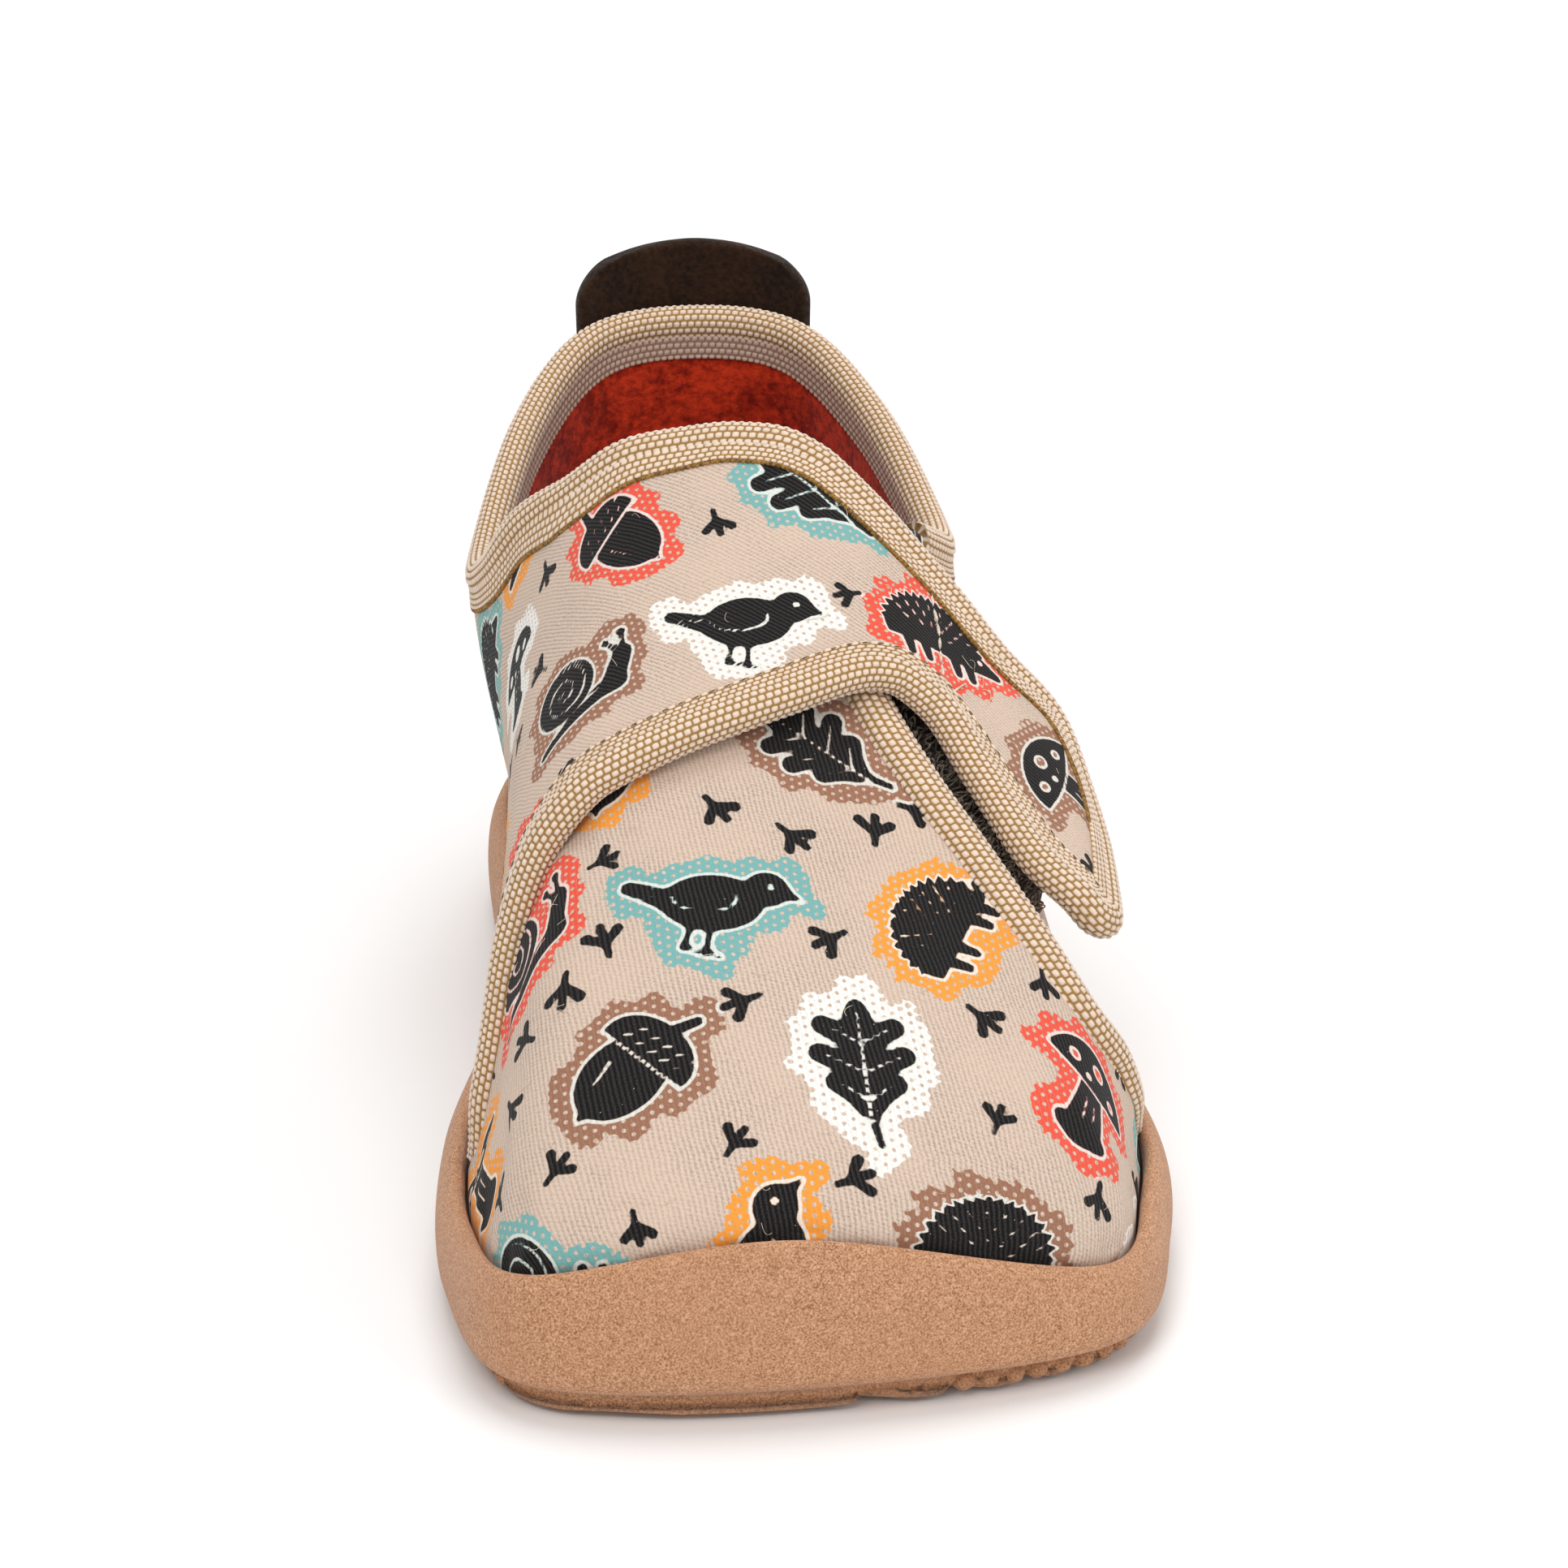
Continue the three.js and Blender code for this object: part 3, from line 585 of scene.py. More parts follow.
def makeThread(name, tone, shade):
    f = Finish(name)
    grain = f.noise(f.place(), 2600, 2.0, 0.6)
    return f.done(f.blend(srgb(*shade), srgb(*tone), f.step(grain, 0.3, 0.7)), 0.85, [(grain, 0.00004, 0.5)],
                  sheen=0.1, specular=0.2)


foamLook = {"light": (222, 176, 142), "mid": (188, 139, 104), "dark": (130, 86, 56)}


def makeFoam(name, look, grain=0.3):
    f = Finish(name)
    place = f.place()
    fleck = f.noise(place, 1000 / grain, 2.0, 0.7)
    clump = f.noise(place, 1000 / grain / 3.4, 2.0, 0.6)
    patch = f.noise(place, 60, 2.0)
    tone = f.node("ValToRGB", {"stops": [(0.34, srgb(*look["dark"])), (0.50, srgb(*look["mid"])),
                                         (0.66, srgb(*look["light"]))]},
                  {"Fac": fleck * 0.88 + clump * 0.12})
    colour = f.blend(tone, srgb(*look["mid"]), f.step(patch, 0.3, 0.7, 0.0, 0.35))
    return f.done(colour, 0.93, [(clump, 0.00015, 0.4), (fleck, 0.00016, 0.85)], sheen=0.15,
                  sheenRoughness=0.45, specular=0.15)


twillVamp = makeTwill("printed twill vamp", 8)
twillPanel = makeTwill("printed twill strap", 42)
redFelt = makeFelt("rust red felt", (216, 62, 29), (122, 21, 9), 0.5)
soleFelt = makeFelt("insole felt", (204, 58, 28), (116, 21, 9), 0.5)
tabSuede = makeFelt("espresso felt", (54, 34, 20), (24, 14, 8), 0.3)
beadTape = makeTape("bead woven tape", tapeLook)
# the inner margin's tape takes the darker colours, which paint its shade
shadedTape = makeTape("inner face of the tape in painted shade", shadedTapeLook)
goldThread = makeThread("gold brown thread", (166, 124, 62), (96, 70, 36))
darkThread = makeThread("dark thread", (140, 120, 94), (92, 76, 58))
loopThread = makeThread("loop thread", (168, 154, 138), (98, 86, 74))
creamThread = makeThread("cream thread", (232, 222, 204), (186, 172, 150))
foam = makeFoam("suede foam", foamLook, 0.2)
# the suede foam again with darker colours for the tread under the sole: painted shade
shadedTreadFoam = makeFoam("tread foam in painted shade", {"light": (206, 160, 124), "mid": (178, 130, 95), "dark": (128, 86, 58)}, 0.22)
loopPile = makeFelt("loop pile", (88, 76, 66), (44, 36, 30), 0.3)
print("materials ready")


# Print: motifs by signed distance in millimetres, ink below zero
def ring(x, y, cx, cy, rx, ry, turn=0.0):
    a = math.radians(turn)
    px, py = (x - cx) * math.cos(a) + (y - cy) * math.sin(a), (y - cy) * math.cos(a) - (x - cx) * math.sin(a)
    k0 = np.hypot(px / rx, py / ry)
    k1 = np.hypot(px / rx ** 2, py / ry ** 2)
    return k0 * (k0 - 1) / np.maximum(k1, 1e-6)


def limb(x, y, ax, ay, bx, by, ra, rb):
    t = np.clip(((x - ax) * (bx - ax) + (y - ay) * (by - ay)) / ((bx - ax) ** 2 + (by - ay) ** 2), 0, 1)
    return np.hypot(x - ax - t * (bx - ax), y - ay - t * (by - ay)) - mix(ra, rb, t)


def joined(*shapes, soft=0.35):
    whole = shapes[0]
    for shape in shapes[1:]:
        h = np.clip(0.5 + 0.5 * (shape - whole) / soft, 0, 1)
        whole = mix(shape, whole, h) - soft * h * (1 - h)
    return whole


def hedgehog(x, y):
    angle = np.arctan2(y + 1.5, x + 1)
    back = np.maximum(ring(x, y, -1, -1.2, 7.6, 6.2), -(y + 3.6)) + 0.42 * np.sin(angle * 34) * ease(-0.2, 0.3, angle)
    body = joined(back, limb(x, y, 4.5, -1.8, 9.0, -3.0, 2.1, 0.55),
                  *(limb(x, y, fx, -3.5, fx + 0.5, -5.6, 0.8, 0.6) for fx in (-5.2, -2.6, 2.2, 4.4)))
    lines = [ring(x, y, 6.4, -1.7, 0.42, 0.42)]
    for row, (radius, count) in enumerate(((2.6, 4), (4.2, 6), (5.7, 8))):
        for k in range(count):
            a = math.radians(28 + 132 * (k + 0.5 * (row % 2)) / count)
            cx, cy = -1 + radius * math.cos(a) * 1.1, -1.9 + radius * math.sin(a) * 0.9
            lines.append(limb(x, y, cx, cy, cx + 0.7 * math.cos(a), cy + 0.7 * math.sin(a), 0.17, 0.12))
    return body, lines


def snail(x, y):
    shell = ring(x, y, -1.2, 1.4, 5.4, 5.0)
    foot = joined(limb(x, y, -8.6, -4.6, 5.5, -4.2, 0.5, 1.4), limb(x, y, 5.0, -4.2, 8.3, -0.6, 1.4, 1.25),
                  limb(x, y, 8.3, -0.6, 9.6, 2.4, 0.4, 0.32), limb(x, y, 8.0, -0.6, 7.4, 2.2, 0.4, 0.32),
                  ring(x, y, 9.7, 2.6, 0.6, 0.6), ring(x, y, 7.3, 2.4, 0.6, 0.6))
    px, py = x + 1.2, y - 1.4
    coil = np.hypot(px, py) / 2.0 - np.arctan2(py, px) / (2 * math.pi)
    spiral = (np.abs(coil - np.round(coil)) * 2.0 - 0.2)
    lines = [np.maximum(spiral, np.hypot(px, py) - 4.4), limb(x, y, -5.5, -3.9, 3.6, -3.5, 0.14, 0.14)]
    return joined(shell, foot, soft=0.2), lines


def mushroom(x, y):
    cap = np.maximum(ring(x, y, 0, 0.2, 7.6, 6.8), 0.9 - y + 0.07 * x * x / 4)
    stem = joined(limb(x, y, 0, 1.6, 0.5, -5.6, 1.8, 2.5), ring(x, y, 0.5, -6.4, 3.6, 1.5))
    lines = [ring(x, y, cx, cy, r, r * 0.8) for cx, cy, r in
             ((-3.8, 3.2, 1.0), (0.4, 4.6, 1.25), (3.9, 2.9, 0.9), (-1.0, 2.2, 0.6))]
    lines += [limb(x, y, -1.6, 0.7, 2.0, 0.7, 0.2, 0.2), limb(x, y, -0.4, -1.2, 0.0, -4.6, 0.13, 0.13),
              limb(x, y, 1.0, -1.6, 1.3, -3.8, 0.12, 0.12)]
    return joined(cap, stem, soft=0.2), lines


def oakLeaf(x, y):
    lobes = [ring(x, y, 0, 0.6, 2.3, 7.6)]
    lines = [limb(x, y, 0, -7.6, 0, 6.4, 0.2, 0.12)]
    for cy, reach in ((-3.4, 3.2), (0.2, 4.6), (3.8, 3.9)):
        for side in (-1, 1):
            lobes.append(limb(x, y, 0, cy - 1.4, side * reach, cy + 0.8, 1.5, 1.25))
            lines.append(limb(x, y, 0, cy - 1.4, side * (reach - 0.6), cy + 0.6, 0.16, 0.1))
    stalk = limb(x, y, 0, -5.5, 0.9, -10.0, 0.55, 0.4)
    return joined(*lobes, stalk, soft=0.9), lines


def acorn(x, y):
    nut = joined(ring(x, y, 0, -1.8, 4.2, 5.6), limb(x, y, 0, -6, 0, -8.0, 0.9, 0.25), soft=0.8)
    cap = np.maximum(ring(x, y, 0, 1.9, 5.6, 4.2), 1.1 - y)
    stalk = limb(x, y, 0, 5.4, 1.2, 8.4, 0.7, 0.55)
    lines = [limb(x, y, -5.4, 1.0, 5.4, 1.0, 0.22, 0.22), limb(x, y, -2.2, -1.2, -1.6, -4.2, 0.22, 0.12)]
    for k in range(5):
        for j in range(2):
            cx = -3.4 + 1.7 * k + 0.8 * j
            lines.append(limb(x, y, cx, 2.2 + 1.5 * j, cx + 0.55, 2.75 + 1.5 * j, 0.15, 0.15))
    return joined(nut, cap, stalk, soft=0.2), lines


def bird(x, y):
    body = joined(ring(x, y, -0.4, -0.3, 5.6, 3.9, 14), ring(x, y, 4.9, 3.2, 2.5, 2.4),
                  limb(x, y, 6.6, 3.3, 9.0, 2.9, 0.95, 0.15), limb(x, y, -4.6, -1.4, -10.2, -0.2, 1.5, 0.9),
                  limb(x, y, 0.2, -3.6, 0.6, -7.2, 0.32, 0.3), limb(x, y, -1.9, -3.6, -1.9, -7.0, 0.32, 0.3),
                  limb(x, y, 0.6, -7.2, 2.2, -7.4, 0.3, 0.22), limb(x, y, -1.9, -7.0, -0.4, -7.3, 0.3, 0.22), soft=0.9)
    wing = np.abs(ring(x, y, -1.5, 0.2, 3.6, 2.0, 12)) - 0.18
    lines = [np.maximum(wing, y - 0.9 - 0.3 * x), ring(x, y, 5.3, 3.7, 0.45, 0.45)]
    lines += [limb(x, y, -8.9 + k, -0.9, -7.5 + k, -0.6, 0.12, 0.12) for k in (0.0, 1.6)]
    return body, lines


def seedling(x, y):
    return joined(limb(x, y, 0, -2.0, 0.1, 0.3, 0.36, 0.42), limb(x, y, 0, -0.6, -1.5, 0.9, 0.35, 0.62),
                  limb(x, y, 0, -0.6, 1.6, 0.7, 0.35, 0.58), limb(x, y, 0.1, 0.3, 0.1, 1.6, 0.4, 0.5), soft=0.25), []


motifShapes = {"hedgehog": hedgehog, "snail": snail, "mushroom": mushroom, "leaf": oakLeaf,
               "acorn": acorn, "bird": bird, "seedling": seedling}
haloTints = {"coral": (230, 60, 32), "teal": (98, 170, 170), "amber": (240, 148, 14),
             "brown": (142, 92, 66), "white": (238, 237, 232)}


def printOn(flat, layout, spread=1.95):
    # signed distances of the ink and of its halo, and the halo's tint, at points of the flat cloth
    ink = np.full(flat.shape[:-1], 9.0)
    halo = np.full(flat.shape[:-1], 9.0)
    tint = np.zeros(flat.shape[:-1] + (3,)) + srgb(*haloTints["coral"])
    for kind, u, v, turn, size, shade in layout:
        dx, dy = flat[..., 0] - u, flat[..., 1] - v
        near = np.hypot(dx, dy) < 17 * size
        a = math.radians(turn)
        x = (dx[near] * math.cos(a) + dy[near] * math.sin(a)) / size
        y = (dy[near] * math.cos(a) - dx[near] * math.sin(a)) / size
        shape, lines = motifShapes[kind](x, y)
        marked = shape
        for line in lines:
            marked = np.maximum(marked, -line)
        ink[near] = np.minimum(ink[near], marked * size)
        if shade:
            wave = 0.35 * np.sin(x * 1.1 + 1.3 * np.sin(y * 0.8)) + 0.3 * np.sin(y * 1.3 + x * 0.5)
            reach = shape * size - spread - wave
            closer = reach < halo[near]
            halo[near] = np.minimum(halo[near], reach)
            shades = tint[near]
            shades[closer] = srgb(*haloTints[shade])
            tint[near] = shades
    return np.clip(ink, -9, 9), np.clip(halo, -9, 9), tint


def scattered(low, high, seed, pitch=21.5):
    # an all-over layout in offset rows, each motif turned its own way, with small marks between them
    rng = np.random.default_rng(seed)
    kinds = ["hedgehog", "leaf", "snail", "mushroom", "bird", "acorn"]
    shades = ["coral", "teal", "amber", "brown", "white"]
    layout = []
    for j in range(int((high[1] - low[1]) / (pitch * 0.84)) + 2):
        for i in range(int((high[0] - low[0]) / pitch) + 2):
            u = low[0] + (i + 0.5 * (j % 2)) * pitch + rng.uniform(-1.5, 1.5)
            v = low[1] + j * pitch * 0.84 + rng.uniform(-1.5, 1.5)
            layout.append((kinds[(i * 2 + j * 3) % 6], u, v, rng.uniform(-65, 65), 0.84, shades[(i + 2 * j) % 5]))
    busy = [(u, v, 10.9) for _, u, v, _, _, _ in layout]
    for u, v in rng.uniform(low, high, (4000, 2)):
        if all(math.hypot(u - cu, v - cv) > reach for cu, cv, reach in busy):
            layout.append(("seedling", u, v, rng.uniform(-180, 180), rng.uniform(0.8, 1.05), None))
            busy.append((u, v, 5.2))
    return layout


# Cloth
clothLook = {"vampCells": (60, 44), "panelCells": (172, 25), "hiddenCells": 1, "liningDepth": wall}



# Troughs of the vamp: place and share of both ends, width and depth in millimetres
vampCreases = [((10.42, 0.04), (10.05, 0.30), 1.7, 0.34), ((9.86, 0.03), (9.62, 0.20), 1.4, 0.28),
               ((9.30, 0.03), (9.18, 0.13), 1.1, 0.22), ((8.62, 0.03), (8.58, 0.12), 1.0, 0.20),
               ((7.95, 0.03), (7.99, 0.15), 1.2, 0.22), ((7.40, 0.03), (7.46, 0.13), 1.0, 0.22),
               ((6.82, 0.04), (6.96, 0.24), 1.5, 0.30), ((10.1, 0.62), (8.9, 0.56), 2.4, 0.40),
               ((9.9, 0.50), (8.7, 0.47), 2.0, 0.22)]


def troughs(place, share, creases):
    deep = np.zeros(np.shape(place))
    for (p0, s0), (p1, s1), wide, depth in creases:
        x, y = (place - p0) * 12.0, (share - s0) * 60.0
        ax, ay = (p1 - p0) * 12.0, (s1 - s0) * 60.0
        t = np.clip((x * ax + y * ay) / (ax * ax + ay * ay), 0, 1)
        away = np.hypot(x - t * ax, y - t * ay)
        deep = deep + depth * (np.exp(-(away / wide) ** 2) - 0.45 * np.exp(-((away - 1.9 * wide) / wide) ** 2))
    return deep


def puckers(place, share):
    # small gathers where the cloth turns under the lip of the sole
    wave = np.sin(place * 23.0 + 1.6 * np.sin(place * 5.1)) + 0.6 * np.sin(place * 41.0 + 2.0)
    return 0.09 * wave * np.exp(-((share - 0.03) / 0.05) ** 2) * ease(0.0, 0.02, share)


def makeVamp():
    wide, tall = clothLook["vampCells"]
    across = np.linspace(0, 1, 4 * wide + 1)
    hidden = 4 * clothLook["hiddenCells"]
    share = np.concatenate([np.linspace(skirt, 0, hidden, endpoint=False),
                            np.linspace(0, vampRows[-1, 0], 4 * (tall - clothLook["hiddenCells"]) + 1)])
    a, s = np.meshgrid(across, share, indexing="ij")

    def at(a, s, depth):
        place = mix(vampSide(s, "outer"), vampSide(s, "inner"), a)
        shaped = troughs(place, s, vampCreases) * ease(0.0, 0.03, s) + puckers(place, s)
        return lifted(place, s, vampLift(a, s) - shaped - depth)

    cutA, cutS = np.meshgrid(np.linspace(0, 1, 25), np.linspace(0, vampRows[-1, 0], 15), indexing="ij")
    laid = flatten(at(cutA, cutS, 0)) * (-1, 1)
    flat = resample(laid, across * 24, np.clip(share / vampRows[-1, 0], 0, 1) * 14)
    outer = at(a, s, 0.0)
    inner = at(a[::4, ::4], s[::4, ::4], clothLook["liningDepth"])
    points, faces, picks, flats = clothSheet(outer, inner, flat)
    layout = scattered(flat.reshape(-1, 2).min(0), flat.reshape(-1, 2).max(0), 4)
    ink, halo, tint = printOn(flats, layout)
    return makePiece("vamp_cloth", points, faces, [twillVamp, redFelt], picks, flats,
                     {"ink": ink, "halo": halo}, tint)


def panelPoint(row, across):
    line = panelAt(row)
    share = mix(line["lowShare"], line["highShare"], across)
    place = mix(line["lowRound"], line["highRound"], across)
    return place, share, layerLift(line["lift"], share)


def panelStart(row):
    # how far across the panel its visible part begins
    line = panelAt(row)
    visible = np.maximum(0, line["lowShare"])
    return (visible - line["lowShare"]) / (line["highShare"] - line["lowShare"])


def makePanel():
    long, wide = clothLook["panelCells"]
    guess = np.linspace(0, 26, 521)
    walk = np.cumsum(np.r_[0, np.linalg.norm(np.diff(lifted(*panelPoint(guess, 0.6)), axis=0), axis=1)
                           * np.where(guess[1:] > 13, 1.25, 1.0)])
    rows = np.interp(np.linspace(0, walk[-1], 4 * long + 1), walk, guess)
    hidden = 4 * clothLook["hiddenCells"]
    share = np.concatenate([np.linspace(-1, 0, hidden, endpoint=False),
                            np.linspace(0, 1, 4 * (wide - clothLook["hiddenCells"]) + 1)])
    r, h = np.meshgrid(rows, share, indexing="ij")

    def at(r, h, depth):
        start = panelStart(r)
        across = np.where(h < 0, start * (1 + h), mix(start, 1, np.clip(h, 0, 1)))
        place, share, lift = panelPoint(r, across)
        return lifted(place, share, lift - depth)

    cutR, cutH = np.meshgrid(np.linspace(0, 26, 79), np.linspace(0, 1, 9), indexing="ij")
    laid = flatten(at(cutR, cutH, 0))
    across, up = laid[60, 7] - laid[60, 1], laid[66, 4] - laid[54, 4]
    turn = math.atan2(across[1], across[0])
    c, s = math.cos(math.pi / 2 - turn), math.sin(math.pi / 2 - turn)
    laid = laid @ np.array([[c, s], [-s, c]]) 
    if (up @ np.array([[c, s], [-s, c]]))[0] < 0:
        laid = laid * (-1, 1)
    flat = resample(laid, rows * 3, np.clip(share, 0, 1) * 8)
    outer = at(r, h, 0.0)
    inner = at(r[::4, ::4], h[::4, ::4], clothLook["liningDepth"])
    points, faces, picks, flats = clothSheet(outer, inner, flat)
    layout = scattered(flat.reshape(-1, 2).min(0), flat.reshape(-1, 2).max(0), 9)
    ink, halo, tint = printOn(flats, layout)
    start = panelStart(r)
    place, share, _ = panelPoint(r, mix(start, 1, np.clip(h, 0, 1)))
    surface = outer[::2, ::2].reshape(-1, 3), lastNormal(place, share)[::2, ::2].reshape(-1, 3)
    return makePiece("strap_and_quarters", points, faces, [twillPanel, redFelt], picks, flats,
                     {"ink": ink, "halo": halo}, tint), surface


vampCloth = makeVamp()
wear(vampCloth, "upper")
panelCloth, panelSurface = makePanel()
wear(panelCloth, "upper")


# Bound edges: a roll of woven tape, with its flat margins on the cloth and on the lining
tapeSizes = {"bead": 0.82, "rowsRound": 16, "halfWidth": 2.0, "halfThickness": 1.72, "relief": 0.16,
             "soften": 1.4, "marginRows": 4, "marginLift": 0.36, "vampStand": 0.55}


def smoothed(values, reach):
    # a running mean along a path, its ends held
    kernel = np.hanning(2 * reach + 3)[1:-1]
    kernel = kernel / kernel.sum()
    padded = np.concatenate([2 * values[:1] - values[reach:0:-1], values, 2 * values[-1:] - values[-2:-reach - 2:-1]])
    return np.stack([np.convolve(padded[:, k], kernel, "valid") for k in range(values.shape[1])], 1)


def tapeFrame(centre, outward, inside, stage):
    # even steps along a path, with the directions out of the cloth and into it
    step = tapeSizes["bead"] / 4
    gone = np.r_[0, np.cumsum(np.linalg.norm(np.diff(centre, axis=0), axis=1))]
    even = np.linspace(0, gone[-1], int(round(gone[-1] / step)) + 1)

    def place(v):
        return np.stack([np.interp(even, gone, v[:, k]) for k in range(v.shape[1])], 1)

    reach = max(1, int(tapeSizes["soften"] / step))
    points = smoothed(place(centre), reach)
    along = unit(np.gradient(points, axis=0))
    normal = smoothed(place(outward), reach)
    normal = unit(normal - along * (normal * along).sum(1, keepdims=True))
    side = np.cross(along, normal)
    if ((side * (place(inside) - place(centre))).sum(1)).mean() < 0:
        side = -side
    return {"points": points, "along": along, "normal": normal, "side": side, "gone": even,
            "stage": place(stage[:, None])[:, 0]}


def beadRelief(step, row, across):
    # the height of a plain weave's beads, from 0 between them to 1
    u = ((step / 4 + 0.5 * (row % 2)) % 1) * 2 - 1
    return (1 - np.abs(u) ** 2.2) * (1 - np.abs(across) ** 2.4)


def tubePiece(name, rings, flat, weave, material):
    m, n = rings.shape[:2]
    index = np.arange(m * n).reshape(m, n)
    nextOne = np.roll(index, -1, 1)
    caps = np.concatenate([np.stack([np.full(n, m * n), index[0], nextOne[0]], 1),
                           np.stack([np.full(n, m * n + 1), nextOne[-1], index[-1]], 1)])
    points = np.concatenate([rings.reshape(-1, 3), rings[0].mean(0)[None], rings[-1].mean(0)[None]])
    flats = np.concatenate([flat.reshape(-1, 2), flat[0].mean(0)[None], flat[-1].mean(0)[None]])
    return makePiece(name, points, [quadsOf(index, wrapColumns=True), caps[:, ::-1]], [material], None, flats,
                     {"weave": np.r_[weave.ravel(), 0, 0]})


def makeRoll(name, frame, full=1.0):
    sizes = tapeSizes
    count = 3 * sizes["rowsRound"]
    i, j = np.meshgrid(np.arange(len(frame["points"])), np.arange(count), indexing="ij")
    weave = beadRelief(i, j // 3, (j % 3) / 1.5 - 1)
    angle = j / count * 2 * math.pi
    swell = sizes["relief"] * (weave * 1.6 - 1)
    rings = (frame["points"][i] + frame["side"][i] * (np.cos(angle) * (sizes["halfWidth"] * full + swell))[..., None]
             + frame["normal"][i] * (np.sin(angle) * (sizes["halfThickness"] * full + swell))[..., None])
    flat = np.stack([frame["gone"][i], j / count * 11.7], -1)
    return tubePiece(name, rings, flat, weave, beadTape)


def restOn(points, surface):
    # the nearest place on the cloth's outer face, and the way out of it
    tree = KDTree(len(surface[0]))
    for k, point in enumerate(surface[0]):
        tree.insert(point, k)
    tree.balance()
    near = np.array([tree.find(point)[1] for point in points.reshape(-1, 3)]).reshape(points.shape[:-1])
    foot, normal = surface[0][near], surface[1][near]
    return points + normal * ((foot - points) * normal).sum(-1, keepdims=True), normal


def part(frame, low, high):
    keep = (frame["stage"] >= low) & (frame["stage"] <= high)
    return {key: value[keep] for key, value in frame.items()}


def makeMargin(name, frame, reach, face, material):
    # reach: how far the margin's edge lies from the middle of the roll, along the path
    sizes = tapeSizes
    count = 3 * sizes["marginRows"] + 1
    i, j = np.meshgrid(np.arange(len(frame["points"])), np.arange(count), indexing="ij")
    share = j / (count - 1)
    out = mix(1.0, reach[i], share)
    weave = beadRelief(i, j // 3, (j % 3) / 1.5 - 1)
    weave[:, -1] = 0
    base, normal = restOn(frame["points"][i[:, ::4]] + frame["side"][i[:, ::4]] * out[:, ::4, None], panelSurface)
    base, normal = (np.moveaxis(alongRows(np.moveaxis(v, 1, 0), np.arange(count) / 4), 0, 1) for v in (base, normal))
    base, normal = (smoothed(v.reshape(len(v), -1), 4).reshape(v.shape) for v in (base, normal))
    height = sizes["marginLift"] * (1 - 0.8 * ease(0.93, 1.0, share)) + sizes["relief"] * (weave * 1.2 - 1)
    under = np.full(height.shape[0], -0.35)[:, None]
    rise = height if face > 0 else -wall - height
    fall = under if face > 0 else -wall - under
    rings = base + normal * rise[..., None]
    tail = np.stack([base[:, -1] + normal[:, -1] * fall, base[:, 0] + normal[:, 0] * fall], 1)
    flat = np.stack([frame["gone"][i], out], -1)
    return tubePiece(name, np.concatenate([rings, tail], 1), np.concatenate([flat, flat[:, [-1, 0]]], 1),
                     np.concatenate([weave, weave[:, :2] * 0], 1), material)


def edgePath():
    # stages run on past the strap's tip: 3 to 26 along the top edge, 27 to 39 back along the front edge
    up = np.linspace(3, 26, 900)
    tip = np.linspace(1, 0, 60)[1:-1]
    down = np.linspace(26, 14, 500)
    rows = np.r_[up, np.full(len(tip), 26.0), down]
    across = np.r_[np.ones(len(up)), tip, np.zeros(len(down))]
    stage = np.r_[up, 27 - tip, 53 - down]
    place, share, _ = panelPoint(rows, across)
    lift = panelAt(rows)["lift"]
    keep = share > 0.015
    lift = mix(last["lastedLift"] + 0.2, lift, ease(0.0, 0.16, share))
    centre = lifted(place, share, lift - wall / 2)
    inwardAcross = np.where(across > 0.999, 0.93, np.where(across < 0.001, 0.07, across))
    inwardRow = np.where((across < 0.999) & (across > 0.001), 25.6, rows)
    insidePlace, insideShare, _ = panelPoint(inwardRow, inwardAcross)
    inside = lifted(insidePlace, insideShare, lift - wall / 2)
    return centre[keep], lastNormal(place, share)[keep], inside[keep], stage[keep]


def vampEdgePath():
    share = np.linspace(0.015, 0.9, 300)
    place = vampSide(share, "outer")
    lift = vampLift(np.zeros(300), share) - wall / 2 + tapeSizes["vampStand"] * ease(0.0, 0.25, share)
    return lifted(place, share, lift), lastNormal(place, share), lifted(place + 0.12, share, lift), share


edge = tapeFrame(*edgePath())
wear(makeRoll("strap_binding", edge), "edge_binding")
wear(makeRoll("vamp_edge_binding", tapeFrame(*vampEdgePath()), 1.14), "vamp_binding")
marginReach = {"outer": [(3, 3.2), (11, 3.2), (14.5, 4.9), (16, 4.6), (18.5, 3.2), (25, 3.1), (27, 3.4),
                         (28.5, 2.7), (39, 2.7)],
               "inner": [(3, 3.7), (8, 3.7), (11, 4.2), (15, 4.4), (17, 3.6), (26, 3.6)]}


def reachAlong(frame, side):
    stages, reaches = zip(*marginReach[side])
    return np.interp(frame["stage"], stages, reaches)


outerEdge, innerEdge = part(edge, 3, 38.2), part(edge, 3, 25.5)
wear(makeMargin("outer_margin", outerEdge, reachAlong(outerEdge, "outer"), 1, beadTape), "edge_binding")
wear(makeMargin("inner_margin", innerEdge, reachAlong(innerEdge, "inner"), -1, shadedTape), "edge_binding")


